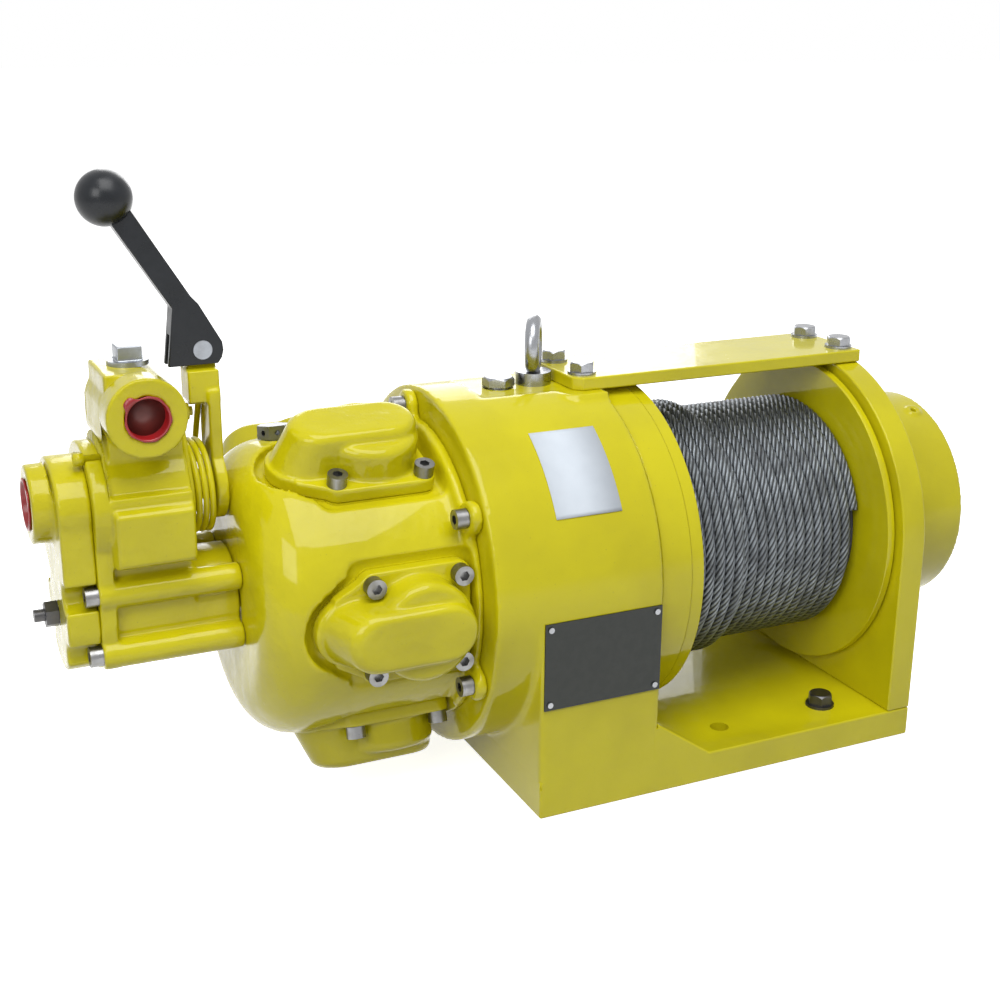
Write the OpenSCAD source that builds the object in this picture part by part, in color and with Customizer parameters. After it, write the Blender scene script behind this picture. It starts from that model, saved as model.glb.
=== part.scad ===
// Air winch: a five-cylinder radial piston air motor drives a wire rope drum
// through a spring-applied disc brake and one planetary stage.
// X runs along the drum axis from the motor to the outboard end, Z is up.
// The origin is on the underside, midway between the two open base holes.

/* [Frame] */
// Gap between the drum's wide flange and the base plate
drum_clear = 3; // [2:0.5:8]
// Distance from the gear housing's motor-side end to the open base holes
hole_from_housing = 193; // [185:1:200]
// Thickness of the base plate
base_t = 22; // [14:1:26]
// Thickness of the outboard upright
upright_t = 20; // [14:1:24]
// Radius of the hold-down holes
base_hole_r = 6.75; // [5.5:0.25:9]
// Distance along X between the two pairs of base holes
base_hole_dx = 89; // [80:1:95]
// Distance across the base between the holes of a pair
base_hole_dy = 190; // [180:2:210]
// Length of the sloped rib beside the pedestal
rib_len = 43; // [20:1:60]
// Height of the sloped rib
rib_h = 30; // [15:1:40]
// Thickness of the sloped rib
rib_t = 12; // [8:1:16]

/* [Gear housing] */
// Outer radius of the gear housing, also half the width of the frame
house_r = 126; // [124:1:132]
// Length of the gear housing
house_len = 122; // [120:1:126]
// Length of the pedestal along X
pedestal_len = 90; // [85:1:95]
// Wall of the pedestal
pedestal_wall = 12; // [8:1:16]
// Wall of the housing round the ring gear
house_wall = 20; // [18:0.5:22]
// Depth of the milled flat below the housing's top
crown_cut = 4; // [2.5:0.5:6]

/* [Tie bar] */
// Width of the tie bar
bar_w = 72; // [60:1:80]
// Thickness of the tie bar
bar_t = 9; // [6:0.5:14]
// Length of the bar's lap on the housing
bar_lap = 22; // [18:1:26]
// Distance across the bar between its bolts
bar_bolt_dy = 43; // [34:1:50]

/* [Drum] */
// Radius of the bare barrel
barrel_r = 70; // [68:1:74]
// Step from the housing's radius down to the wide flange at the gear side
left_flange_in = 5; // [3:0.5:8]
// Width of the wide flange
left_flange_w = 33; // [26:1:36]
// Step from the housing's radius down to the outboard flange
right_flange_in = 7; // [5:0.5:10]
// Thickness of the outboard flange
right_flange_t = 6; // [4:1:9]
// Width of the rope space between the flanges
rope_space = 156; // [140:1:160]
// Running gap at each end of the drum
drum_gap = 2; // [1:0.5:3]
// Diameter of the rope's own tube in the winding
rope_d = 7.6; // [7:0.1:7.7]
// Depth of the wound layers under the middle of the lower turns
rope_stack = 16; // [14:1:20]
// Number of lower turns that show at the outboard side
low_turns = 12; // [8:1:14]
// Number of raised turns at the gear side
high_turns = 6; // [4:1:8]

/* [Outboard bearing housing] */
// Outer radius of the outboard bearing housing
boss_r = 82; // [74:1:90]
// Length of the outboard bearing housing
boss_len = 73; // [60:1:80]
// Wall of the outboard bearing housing
boss_wall = 14; // [10:1:18]
// Radius of the drum shaft
shaft_r = 20; // [18:0.5:22]

/* [Air motor] */
// Step from the gear housing's radius down to the crankcase
case_in = 26; // [24:0.5:28]
// Length of the crankcase
case_len = 140; // [136:1:143]
// Distance from the motor's mounting face to the cylinder axes
cyl_back = 44; // [43:0.5:46]
// Depth of the flat pads under the cylinder heads
pad_in = 12; // [11:0.5:13]
// Width of the square cylinder head flange
head_w = 75; // [72:1:78]
// Thickness of the cylinder head flange
head_t = 11; // [8:0.5:13]
// Height of the head's hood above the pad
hood_h = 40; // [34:1:42]
// Half the distance between the head screws
head_screw_s = 29.5; // [28:0.5:30.5]
// Radius of the cylinder bores
cyl_r = 27; // [25:0.5:28]
// Throw of the crank
crank_throw = 16; // [14:0.5:17]

/* [Throttle valve] */
// Height of the valve spindle above the drum axis
spindle_up = 78; // [76:1:80]
// Radius of the round valve body
valve_r = 41; // [38:1:43]
// Radius of the air ports
port_r = 16; // [14:0.5:17]
// Radius of the valve spool
spool_r = 18; // [16:0.5:20]
// Number of whole curls of the return spring, besides the part curl to its legs
spring_curls = 3; // [2:1:3]
// Diameter of the return spring's wire
spring_wire = 3.8; // [3:0.1:3.9]

/* [Hand lever] */
// Distance from the lever's pivot to the middle of the ball knob
lever_len = 109; // [90:1:130]
// Lean of the lever from upright, towards the valve
lever_lean = 29; // [20:1:34]
// Radius of the ball knob
knob_r = 17; // [13:0.5:20]
// Thickness of the lever's blade
blade_t = 14; // [13:0.5:16]

/* [Planetary gears] */
// Wall of the ring gear outside its teeth
ring_wall = 13; // [12:0.5:15]
// Room along X between the brake and the ring gear
gear_room = 10; // [6:0.5:14]

/* [Hidden] */
$fn = 64;

// Cuts run past a face by this much
over = 1;
// Radial gap of a fastener or a fitted piece in its hole
fit_gap = 0.05;
// Gap between pieces that move past each other, or seat loosely
seat_gap = 0.3;
// A hexagon's corner radius as a share of its width across flats
corner_share = 1 / sqrt(3);

// Stations along X, from the gear housing's motor-side end to the outboard end
x_house = -hole_from_housing;
x_house_end = x_house + house_len;
pedestal_in = house_len - pedestal_len;
x_pedestal = x_house + pedestal_in;
x_drum = x_house_end + drum_gap;
x_rope = x_drum + left_flange_w;
x_rope_end = x_rope + rope_space;
x_drum_end = x_rope_end + right_flange_t;
x_upright = x_drum_end + drum_gap;
x_upright_end = x_upright + upright_t;
x_boss_end = x_upright_end + boss_len;
base_len = x_upright_end - x_pedestal;
seat_up = house_r - crown_cut;
house_bore_r = house_r - house_wall;
left_flange_r = house_r - left_flange_in;
axis_h = base_t + drum_clear + left_flange_r;
seat_z = axis_h + seat_up;
right_flange_r = house_r - right_flange_in;
case_r = house_r - case_in;
pad_up = case_r - pad_in;

// Places a piece on the drum axis, with its own Z along X
module along_x(x) translate([x, 0, axis_h]) rotate([0, 90, 0]) children();

// A rod along X, centred on the drum axis or moved off it by dy and dz
module x_rod(x, len, r, dy = 0, dz = 0) translate([x, dy, axis_h + dz]) rotate([0, 90, 0])
    cylinder(h = len, r = r);

// A tube along X on the drum axis
module x_tube(x, len, r, bore) difference() {
    x_rod(x, len, r);
    x_rod(x - over, len + 2 * over, bore);
}

// Turns a piece built upright on the motor axis towards an angle from straight up
module radial(angle) translate([0, 0, axis_h]) rotate([angle, 0, 0]) children();

// Socket head cap screw, head up, seated at z = 0
screw_head_r = 6.5;
screw_head_h = 8;
screw_r = 4;
screw_len = 20;
socket_r = 3.46;
socket_depth = 4;
module cap_screw(len = screw_len) {
    difference() {
        union() {
            cylinder(h = screw_head_h, r = screw_head_r, $fn = 32);
            translate([0, 0, -len]) cylinder(h = len + screw_head_r / 2, r = screw_r, $fn = 32);
        }
        translate([0, 0, screw_head_h - socket_depth])
            cylinder(h = socket_depth + over, r = socket_r, $fn = 6);
    }
}

// Hexagon head bolt with a washer face, seated at z = 0
module hex_bolt(across, head, shank, len, washer_r, washer_t) {
    cylinder(h = washer_t, r = washer_r);
    translate([0, 0, washer_t]) intersection() {
        cylinder(h = head, r = across * corner_share, $fn = 6);
        cylinder(h = head, r1 = across / 2 + head, r2 = across / 2 - across / 40);
    }
    translate([0, 0, -len]) cylinder(h = len + washer_t, r = shank);
}

/* Frame */

// Outline of the upright and of the pedestal: a straight foot under a round top
module tombstone(foot, r) intersection() {
    union() {
        translate([0, -r]) square([axis_h - foot, 2 * r]);
        circle(r = r, $fn = 128);
    }
    translate([-r, -r]) square([r + axis_h - foot, 2 * r]);
}

// A tombstone plate between two stations along X, standing on the base plate
module standing_plate(x, len) translate([x, 0, axis_h]) rotate([0, 90, 0]) linear_extrude(len)
    tombstone(base_t, house_r);

rib_y = house_r - rib_t;
module sloped_rib() rotate([90, 0, 0]) linear_extrude(rib_t)
    polygon([[x_house_end, base_t], [x_house_end + rib_len, base_t], [x_house_end, base_t + rib_h]]);

module base_plate() color("yellow") difference() {
    union() {
        translate([x_pedestal, -house_r, 0]) cube([base_len, 2 * house_r, base_t]);
        for (y = [-rib_y, house_r]) translate([0, y, 0]) sloped_rib();
    }
    for (x = [0, base_hole_dx], side = [-1, 1])
        translate([x, side * base_hole_dy / 2, -over]) cylinder(h = base_t + 2 * over, r = base_hole_r);
}

// Sizes of the two bolt kinds on the frame
bar_bolt_r = 5;
bar_bolt_len = 26;
bar_bolt_across = 16;
bar_bolt_head = 6.5;
bar_washer_r = 10;
bar_washer_t = 2;
x_bar = x_house_end - bar_lap;
bar_bolt_in = 12;
bar_bolt_xs = [x_bar + bar_bolt_in, x_upright + upright_t / 2];

// Places a piece at each of the four tie bar bolts
module at_bar_bolts(z) for (x = bar_bolt_xs, side = [-1, 1]) translate([x, side * bar_bolt_dy / 2, z])
    children();

module bar_bolt_holes() at_bar_bolts(seat_z - bar_bolt_len)
    cylinder(h = bar_bolt_len + bar_t + over, r = bar_bolt_r + fit_gap);

// Left part of the pad carries the filler plug and the eye bolt, its right part the tie bar
pad_x0 = x_pedestal;
pad_x1 = x_house_end;
pad_narrow_width = 56;
pad_width = 90;
pad_round = 12;
module pad_outline() {
    translate([pad_x0, -pad_narrow_width / 2]) square([pad_x1 - pad_x0, pad_narrow_width]);
    translate([x_bar - pad_round, -pad_width / 2 + pad_round])
        square([pad_x1 - x_bar + pad_round, pad_width - 2 * pad_round]);
    translate([x_bar, -pad_width / 2]) square([pad_x1 - x_bar, pad_width]);
    for (side = [-1, 1]) translate([x_bar, side * (pad_width / 2 - pad_round)]) circle(r = pad_round);
}

// Mouth of the housing at the motor side, and the web that carries the motor
house_web = 10;
motor_spigot_r = 58;
module gear_housing() color("yellow") difference() {
    union() {
        x_rod(x_house, house_len, house_r, $fn = 128);
        standing_plate(x_pedestal, house_len - pedestal_in);
        translate([0, 0, axis_h]) linear_extrude(seat_up) pad_outline();
    }
    x_rod(x_house - over, house_len + 2 * over, motor_spigot_r, $fn = 96);
    x_rod(x_house + house_web, house_len, house_bore_r, $fn = 96);
    translate([x_pedestal, -house_r, 0]) cube([house_len, 2 * house_r, base_t]);
    // the crown is milled flat where the bar and the fittings sit
    translate([0, 0, seat_z]) linear_extrude(house_r) pad_outline();
    // hollow of the pedestal under the housing
    difference() {
        translate([x_pedestal + pedestal_wall, -house_r + pedestal_wall, base_t - over])
            cube([house_len - pedestal_in - 2 * pedestal_wall, 2 * (house_r - pedestal_wall), axis_h
                - base_t]);
        x_rod(x_house - over, house_len + 2 * over, house_r);
    }
    bar_bolt_holes();
    translate([eye_x, 0, seat_z - eye_shank]) cylinder(h = eye_shank + over, r = eye_shank_r + fit_gap);
    translate([filler_x, 0, seat_z - filler_shank])
        cylinder(h = filler_shank + over, r = filler_r + fit_gap);
    at_flange_screws(x_house - over) cylinder(h = screw_len + over, r = screw_r + fit_gap);
}

boss_spigot = 10;
boss_spigot_r = 64;
module outboard_upright() color("yellow") difference() {
    standing_plate(x_upright, upright_t);
    x_rod(x_upright - over, upright_t + 2 * over, boss_spigot_r);
    translate([x_upright - over, -house_r, seat_z]) cube([upright_t + 2 * over, 2 * house_r, house_r]);
    bar_bolt_holes();
}

bar_corner = 6;
module tie_bar() color("yellow") difference() {
    translate([0, 0, seat_z]) linear_extrude(bar_t) difference() {
        translate([x_bar, -bar_w / 2]) square([x_upright_end - x_bar, bar_w]);
        for (side = [-1, 1]) translate([x_bar, side * bar_w / 2]) rotate(45)
            square(bar_corner * sqrt(2), center = true);
    }
    bar_bolt_holes();
}

module tie_bar_bolts() color("silver") at_bar_bolts(seat_z + bar_t)
    hex_bolt(bar_bolt_across, bar_bolt_head, bar_bolt_r, bar_bolt_len, bar_washer_r, bar_washer_t);

hold_flange_r = 10.5;
hold_flange_t = 2;
hold_across = 16;
hold_head = 8;
hold_r = 5;
module hold_down_bolts() color("dimgray") for (side = [-1, 1])
    translate([base_hole_dx, side * base_hole_dy / 2, base_t])
        hex_bolt(hold_across, hold_head, hold_r, base_t - 2 * hold_flange_t, hold_flange_r, hold_flange_t);

// Lifting eye bolt on the housing's pad
eye_back = 15;
eye_x = x_bar - eye_back;
eye_collar_r = 12.5;
eye_collar_h = 9;
eye_ring_r = 16;
eye_wire_r = 5;
eye_shank = 12;
eye_shank_r = 5;
eye_angle = 59;
module eye_bolt() color("silver") translate([eye_x, 0, seat_z]) {
    cylinder(h = eye_collar_h, r = eye_collar_r);
    translate([0, 0, -eye_shank]) cylinder(h = eye_shank + over, r = eye_shank_r);
    translate([0, 0, eye_collar_h + eye_ring_r + eye_wire_r / 2]) rotate([90, 0, eye_angle])
        rotate_extrude($fn = 64) translate([eye_ring_r, 0]) circle(r = eye_wire_r, $fn = 32);
}

// Oil filler plug on the housing's pad
filler_back = 42;
filler_x = x_bar - filler_back;
filler_r = 10;
filler_shank = 10;
filler_across = 25;
filler_angle = 30;
filler_head = 8;
filler_washer_t = 1;
module filler_plug() color("gray") translate([filler_x, 0, seat_z]) rotate(filler_angle)
    hex_bolt(filler_across, filler_head, filler_r, filler_shank, filler_across / 2, filler_washer_t);

// Bare name plate on the pedestal's front, with its four rivets
plate_side = 1.5;
plate_w = house_len - pedestal_in - 2 * plate_side;
plate_h = 61;
plate_t = 1;
plate_down = 5;
rivet_r = 2;
rivet_h = 1;
rivet_in = 4;
plate_x = (x_pedestal + x_house_end - plate_w) / 2;
plate_z = axis_h - plate_down - plate_h;
module name_plate() color("dimgray") translate([plate_x, -house_r - plate_t, plate_z])
    cube([plate_w, plate_t, plate_h]);

module name_plate_rivets() color("silver")
    for (x = [plate_x + rivet_in, plate_x + plate_w - rivet_in],
        z = [plate_z + rivet_in, plate_z + plate_h - rivet_in])
        translate([x, -house_r - plate_t, z]) rotate([90, 0, 0])
            cylinder(h = rivet_h, r = rivet_r, $fn = 24);

// Bare sticker on the housing's upper front
label_in = 48;
label_w = 48;
label_from = 34.6;
label_sweep = 29;
label_t = 0.4;
module blank_label() color("white") along_x(x_house + label_in) rotate(180 + label_from)
    rotate_extrude(angle = label_sweep, $fn = 128) translate([house_r + seat_gap, 0])
        square([label_t, label_w]);

/* Outboard bearing */

shaft_flange_r = 34;
bearing_w = 22;
bearing_in = 30;
x_bearing = x_upright_end + bearing_in;
bearing_r = 50;
race_t = 8;
ball_r = 9;
ball_count = 9;
grease_in = 60;
grease_turn = 22;
grease_boss_r = 6;
grease_boss_up = 2;
grease_hole_r = 2.5;
grease_depth = 8;

module outboard_bearing_housing() color("yellow") difference() {
    union() {
        x_rod(x_upright_end, boss_len, boss_r, $fn = 96);
        x_rod(x_upright_end - boss_spigot, boss_spigot + over, boss_spigot_r - fit_gap);
        radial(grease_turn) translate([x_upright_end + grease_in, 0, 0])
            cylinder(h = boss_r + grease_boss_up, r = grease_boss_r);
    }
    x_rod(x_upright_end - boss_spigot - over, boss_len - boss_wall + boss_spigot + over, bearing_r);
    radial(grease_turn) translate([x_upright_end + grease_in, 0, boss_r - grease_depth])
        cylinder(h = 2 * grease_depth, r = grease_hole_r);
}

// A ball bearing's races are grooved rings, and its balls sit midway between them
module race_ring(x, w, r_out, r_in, groove_r, ball) difference() {
    x_tube(x, w, r_out, r_in);
    along_x(x + w / 2) rotate_extrude($fn = 96) translate([groove_r, 0])
        circle(r = ball + fit_gap, $fn = 48);
}

module ring_of_balls(x, w, groove_r, ball, count)
    for (k = [0:count - 1]) radial(k * 360 / count) translate([x + w / 2, 0, groove_r])
        sphere(r = ball, $fn = 32);

outboard_groove_r = (bearing_r + shaft_r) / 2;

/* Main bearing at the gear side */

cover_w = 14;
x_cover = x_house_end - cover_w;
main_r = 56;
hub_r = 32;
main_ball_count = 14;
main_groove_r = (main_r + hub_r) / 2;
main_race_t = 7;
main_ball_r = 6.4;
module housing_end_cover() color("yellow") x_tube(x_cover, cover_w, house_bore_r - fit_gap, main_r);

// Each node holds that piece of both bearings
module bearing_outer_races() color("silver") {
    race_ring(x_cover, cover_w, main_r - fit_gap, main_r - main_race_t, main_groove_r, main_ball_r);
    race_ring(x_bearing, bearing_w, bearing_r - fit_gap, bearing_r - race_t, outboard_groove_r, ball_r);
}
module bearing_inner_races() color("silver") {
    race_ring(x_cover, cover_w, hub_r + main_race_t, hub_r + fit_gap, main_groove_r, main_ball_r);
    race_ring(x_bearing, bearing_w, shaft_r + race_t + fit_gap, shaft_r + fit_gap, outboard_groove_r,
        ball_r);
}
module bearing_balls() color("silver") {
    ring_of_balls(x_cover, cover_w, main_groove_r, main_ball_r, main_ball_count);
    ring_of_balls(x_bearing, bearing_w, outboard_groove_r, ball_r, ball_count);
}

/* Planetary gears: three planets between the sun and a fixed ring gear */

sun_teeth = 18;
planet_teeth = 27;
ring_teeth = sun_teeth + 2 * planet_teeth;
pressure_angle = 20;
backlash = 0.12;
// An involute's polar angle at radius r from base radius b, in degrees
function unwind(r, b) = sqrt(max(r * r / (b * b) - 1, 0)) * 180 / PI - acos(min(b / r, 1));

// Outline of a gear with a tooth centred on its X axis; grow widens each tooth
flank_shares = [0, 0.3, 0.65, 1];
module gear_outline(teeth, tip_up, root_down, grow) {
    pitch_r = gear_m * teeth / 2;
    base_r = pitch_r * cos(pressure_angle);
    root_r = pitch_r - root_down * gear_m;
    tip_r = pitch_r + tip_up * gear_m;
    start_r = max(root_r, base_r);
    half = 90 / teeth + grow / pitch_r * 180 / PI / 2 + unwind(pitch_r, base_r);
    flank = [for (s = flank_shares) let (r = start_r + s * (tip_r - start_r))
        [r, half - unwind(r, base_r)]];
    tooth = concat([[root_r, flank[0][1]]], flank);
    side = len(tooth) - 1;
    polygon([for (k = [0:teeth - 1], i = [0:2 * side + 1])
        let (p = i <= side ? tooth[i] : tooth[2 * side + 1 - i], a = k * 360 / teeth
            + (i <= side ? -p[1] : p[1]))
        p[0] * [cos(a), sin(a)]]);
}

disc_t = 3;
disc_count = 3;
brake_len = disc_t * (2 * disc_count + 1) + seat_gap * 2 * disc_count;
brake_piston_t = 9;
spring_room = 7;
planet_count = 3;
tip_share = 0.9;
root_share = 1.2;
gear_m = (house_bore_r - ring_wall) / (ring_teeth / 2 + root_share);
planet_orbit = gear_m * (sun_teeth + planet_teeth) / 2;
carrier_t = 8;
brake_end = house_web + spring_room + brake_piston_t + 2 * seat_gap + brake_len;
gear_w = house_len - cover_w - 2 * carrier_t - 2 * seat_gap - brake_end - gear_room;
x_gears = x_cover - 2 * seat_gap - carrier_t - gear_w;
planet_pin_r = 9;
planet_bore_r = planet_pin_r + fit_gap;

// The sun and the ring gear have a tooth and a gap towards every planet, so a planet turns a gap inwards
planet_turn = 180 - 180 / planet_teeth;

module at_planet(k) along_x(x_gears) rotate(k * 360 / planet_count) translate([planet_orbit, 0, 0])
    children();

module planet_gear(k) color("gray") at_planet(k) difference() {
    rotate(planet_turn) linear_extrude(gear_w) gear_outline(planet_teeth, tip_share, root_share, -backlash);
    translate([0, 0, -over]) cylinder(h = gear_w + 2 * over, r = planet_bore_r);
}

module ring_gear() color("gray") along_x(x_gears - carrier_t) difference() {
    cylinder(h = gear_w + 2 * carrier_t, r = house_bore_r - fit_gap, $fn = 96);
    translate([0, 0, -over]) linear_extrude(gear_w + 2 * carrier_t + 2 * over)
        gear_outline(ring_teeth, root_share, tip_share, backlash);
}

spline_r = 22;
spline_len = 26;
carrier_rim = 5;
carrier_r = planet_orbit + planet_pin_r + carrier_rim;
module planet_carrier() color("darkgray") difference() {
    union() {
        x_rod(x_gears + gear_w + seat_gap, carrier_t, carrier_r);
        x_rod(x_gears - seat_gap - carrier_t, carrier_t, carrier_r);
        for (k = [0:planet_count - 1]) at_planet(k) translate([0, 0, -seat_gap - over])
            cylinder(h = gear_w + 2 * seat_gap + 2 * over, r = planet_pin_r);
        x_rod(x_gears + gear_w + seat_gap, carrier_t + seat_gap + cover_w + drum_gap, hub_r);
        x_rod(x_drum - over, over + spline_len, spline_r - fit_gap);
        // three posts between the planets tie the two plates together
        for (k = [0:planet_count - 1]) along_x(x_gears - seat_gap - over)
            rotate((k + 1 / 2) * 360 / planet_count)
            translate([planet_orbit, 0, 0])
                cylinder(h = gear_w + 2 * seat_gap + 2 * over, r = planet_pin_r);
    }
    x_rod(x_gears - carrier_t - 2 * seat_gap - over, carrier_t + seat_gap + gear_w + 2 * seat_gap
        + over, sun_bore_r);
}

sun_shaft_r = 13;
sun_tip_r = gear_m * (sun_teeth / 2 + tip_share);
sun_bore_r = sun_tip_r + 2 * fit_gap;
brake_hub_r = 40;
module sun_shaft() color("gray") {
    along_x(x_gears) linear_extrude(gear_w - seat_gap)
        gear_outline(sun_teeth, tip_share, root_share, -backlash);
    x_rod(x_house - crank_socket, x_gears - x_house + crank_socket + over, sun_shaft_r);
    x_rod(x_brake, brake_len, brake_hub_r);
}

/* Spring-applied brake between the motor and the gears */

x_brake = x_house + house_web + spring_room + brake_piston_t + 2 * seat_gap;
brake_clear = 4;
brake_plate_in = brake_hub_r + brake_clear;
disc_out = house_bore_r - 3 * brake_clear;
disc_pitch = disc_t + seat_gap;
module brake_plates() color("silver") for (k = [0:disc_count])
    x_tube(x_brake + 2 * k * disc_pitch, disc_t, house_bore_r - fit_gap, brake_plate_in);
module brake_friction_discs() color("sienna") for (k = [0:disc_count - 1])
    x_tube(x_brake + (2 * k + 1) * disc_pitch, disc_t, disc_out, brake_hub_r + fit_gap);
module brake_piston() color("silver")
    x_tube(x_brake - brake_piston_t - seat_gap, brake_piston_t, house_bore_r - seat_gap, brake_plate_in);

cone_t = 2;
cone_rim = 8;
cone_w = 28;
cone_out = house_bore_r - cone_rim;
cone_in = cone_out - cone_w;
module brake_disc_springs() color("dimgray") along_x(x_house + house_web) rotate_extrude($fn = 96)
    polygon([[cone_in, 0], [cone_in + cone_t, 0], [cone_out, spring_room - cone_t], [cone_out, spring_room],
        [cone_out - cone_t, spring_room], [cone_in, cone_t]]);

/* Drum */

barrel_wall = 14;
flange_step = 10;
flange_step_in = 1;
hub_wall = 12;
module drum_barrel() color("yellow") x_tube(x_rope, rope_space, barrel_r, barrel_r - barrel_wall);

module drum_left_flange() color("yellow") difference() {
    union() {
        x_rod(x_drum, left_flange_w - flange_step, left_flange_r, $fn = 128);
        x_rod(x_drum, left_flange_w, left_flange_r - flange_step_in, $fn = 128);
    }
    x_rod(x_drum - over, left_flange_w + 2 * over, spline_r);
    // a dished recess on the gear side lightens the flange
    along_x(x_drum - over) difference() {
        cylinder(h = left_flange_w - hub_wall + over, r = left_flange_r - hub_wall);
        translate([0, 0, -over]) cylinder(h = left_flange_w + over, r = spline_r + hub_wall);
    }
}

module drum_right_flange() color("yellow")
    x_tube(x_rope_end, right_flange_t, right_flange_r, shaft_flange_r + fit_gap, $fn = 128);

module drum_shaft() color("silver") {
    x_rod(x_rope_end, right_flange_t, shaft_flange_r);
    x_rod(x_rope_end - barrel_wall, barrel_wall, barrel_r - barrel_wall - fit_gap);
    x_rod(x_rope_end, x_bearing + bearing_w + seat_gap - x_rope_end, shaft_r);
}

// Winding: one tube that runs from the outboard flange to the gear side on the lower layer,
// climbs half a rope in its last lower half turn, and goes on as the raised turns.
// The layers below are a plain core.
rope_rings = 24;
rope_sides = 6;
rope_gap = 0.45;
rope_pitch = rope_d + rope_gap;
climb_share = 0.86;
rope_climb = rope_d * climb_share;
low_turn_r = barrel_r + rope_stack;
rope_start_angle = -60;
high_turn_r = low_turn_r + rope_climb;
all_turns = low_turns + high_turns;
rope_side_gap = (rope_space - rope_pitch * all_turns - rope_d) / 2;
rope_steps = rope_rings * all_turns;
// Smooth step from 0 to 1 in the half turn where the rope climbs
function climb(t) = let (u = min(max((t - low_turns) * 2, 0), 1)) u * u * (3 - 2 * u);
// Middle of the rope after t turns
function rope_at(t) = let (r = low_turn_r + rope_climb * climb(t), a = 360 * t + rope_start_angle)
    [x_rope_end - rope_side_gap - rope_d / 2 - rope_pitch * t, r * sin(a), axis_h + r * cos(a)];
rope_path = [for (i = [0:rope_steps]) rope_at(i / rope_rings)];
rope_lead = [for (end = [0, rope_steps]) let
    (a = rope_path[end], b = rope_path[end == 0 ? 1 : rope_steps - 1])
    a + rope_d * (a - b) / norm(a - b)];
rope_points = concat([rope_lead[0]], rope_path, [rope_lead[1]]);
rope_clearance = min([for (i = [0:rope_steps - rope_rings]) min([for (j = [-2:2])
    let (k = min(i + rope_rings + j, rope_steps)) norm(rope_path[i] - rope_path[k])])]) - rope_d;
echo(least_gap_of_rope_turns = rope_clearance);

// Sweeps a round tube along points; each ring faces the way the path runs
function sweep_rings(points, r, sides, out) = [for (i = [0:len(points) - 1])
    let (a = points[max(i - 1, 0)], b = points[min(i + 1, len(points) - 1)], t = (b - a) / norm(b - a),
        n0 = out[i] - (out[i] * t) * t, n = n0 / norm(n0), m = cross(t, n))
    for (s = [0:sides - 1]) points[i] + r * (cos(360 * s / sides) * n + sin(360 * s / sides) * m)];
module swept_tube(points, r, sides, out) {
    rings = len(points);
    polyhedron(points = sweep_rings(points, r, sides, out), faces = concat(
        [[for (s = [0:sides - 1]) s]],
        [for (i = [0:rings - 2], s = [0:sides - 1]) let
            (a = i * sides + s, b = i * sides + (s + 1) % sides) [a, a + sides, b]],
        [for (i = [0:rings - 2], s = [0:sides - 1]) let
            (a = i * sides + s, b = i * sides + (s + 1) % sides) [b, a + sides, b + sides]],
        [[for (s = [sides - 1:-1:0]) (rings - 1) * sides + s]]));
}

core_low_r = low_turn_r - rope_d / 2 + rope_d / 8;
core_high_r = high_turn_r - rope_d / 2 + rope_d / 8;
core_high_len = rope_side_gap + rope_pitch * high_turns - rope_d / 2;
module wire_rope() color("slategray") {
    x_tube(x_rope + seat_gap, rope_space - 2 * seat_gap, core_low_r, barrel_r + fit_gap);
    x_tube(x_rope + seat_gap, core_high_len, core_high_r, barrel_r + fit_gap);
    swept_tube(rope_points, rope_d / 2, rope_sides, [for (p = rope_points) [0, p[1], p[2] - axis_h]]);
}

/* Air motor */

head_count = 5;
first_head = 90;
x_cyl = x_house - cyl_back;
head_turns = [for (k = [0:head_count - 1]) first_head + k * 360 / head_count];
// The two top cylinders stand further from the gear housing than the others
top_head_step = -16;
side_head_step = -8;
head_steps = [0, 0, 0, top_head_step, side_head_step];
least_step = min(head_steps);
// Places a piece on a cylinder's axis, upright from the motor's axis
module at_head(k) radial(head_turns[k]) translate([x_cyl + head_steps[k], 0, 0]) children();
case_mouth = 8;
case_mouth_out = 6;
case_front_r = case_r + case_mouth_out;
ear_r = 11;
// Angles of the mounting ears, which stand between the cylinder heads
flange_screw_turns = [-7, 56, 116, 198, 270];
flange_screw_in = 13;
flange_screw_pcr = house_r - flange_screw_in;
shoulder = 34;
crankcase_r = 52;
crank_socket = 22;
journal_r = 16;
crank_bearing_r = 36;
crank_bearing_w = 14;
case_end_wall = 14;
liner_t = 3;
tongue_in = 67;
tongue_w = 45;
flare_from = 32;
flare_len = 17;
x_case_end = x_house - case_len;
case_front_wall = 19;
x_cavity = x_case_end + case_end_wall + crank_bearing_w;
case_cavity = x_house - case_front_wall - x_cavity;

// Outline of the head and of its pad: a square with round corners and a tongue towards the valve
head_corner = 9;
module rounded_square(w, h, r) {
    square([w - 2 * r, h], center = true);
    square([w, h - 2 * r], center = true);
    for (x = [-1, 1], y = [-1, 1]) translate([x * (w / 2 - r), y * (h / 2 - r)]) circle(r = r, $fn = 32);
}
module head_outline(extra = 0) {
    rounded_square(head_w + 2 * extra, head_w + 2 * extra, head_corner);
    translate([-tongue_in + tongue_w / 2, -tongue_w / 2 - extra])
        square([tongue_in - tongue_w / 2, tongue_w + 2 * extra]);
    translate([-tongue_in + tongue_w / 2, 0]) circle(r = tongue_w / 2 + extra, $fn = 48);
    // the sides run into the tongue at a slant
    polygon([[-head_w / 2, -flare_from - extra], [-head_w / 2 - flare_len, -tongue_w / 2 - extra],
        [-head_w / 2 - flare_len, tongue_w / 2 + extra], [-head_w / 2, flare_from + extra]]);
}

// Mounting flange: a disc with an ear round each screw
module flange_outline() {
    circle(r = case_front_r, $fn = 128);
    for (a = flange_screw_turns) rotate(a) {
        translate([-flange_screw_pcr, 0]) circle(r = ear_r);
        translate([-flange_screw_pcr, -ear_r]) square([flange_screw_pcr, 2 * ear_r]);
    }
}

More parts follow.
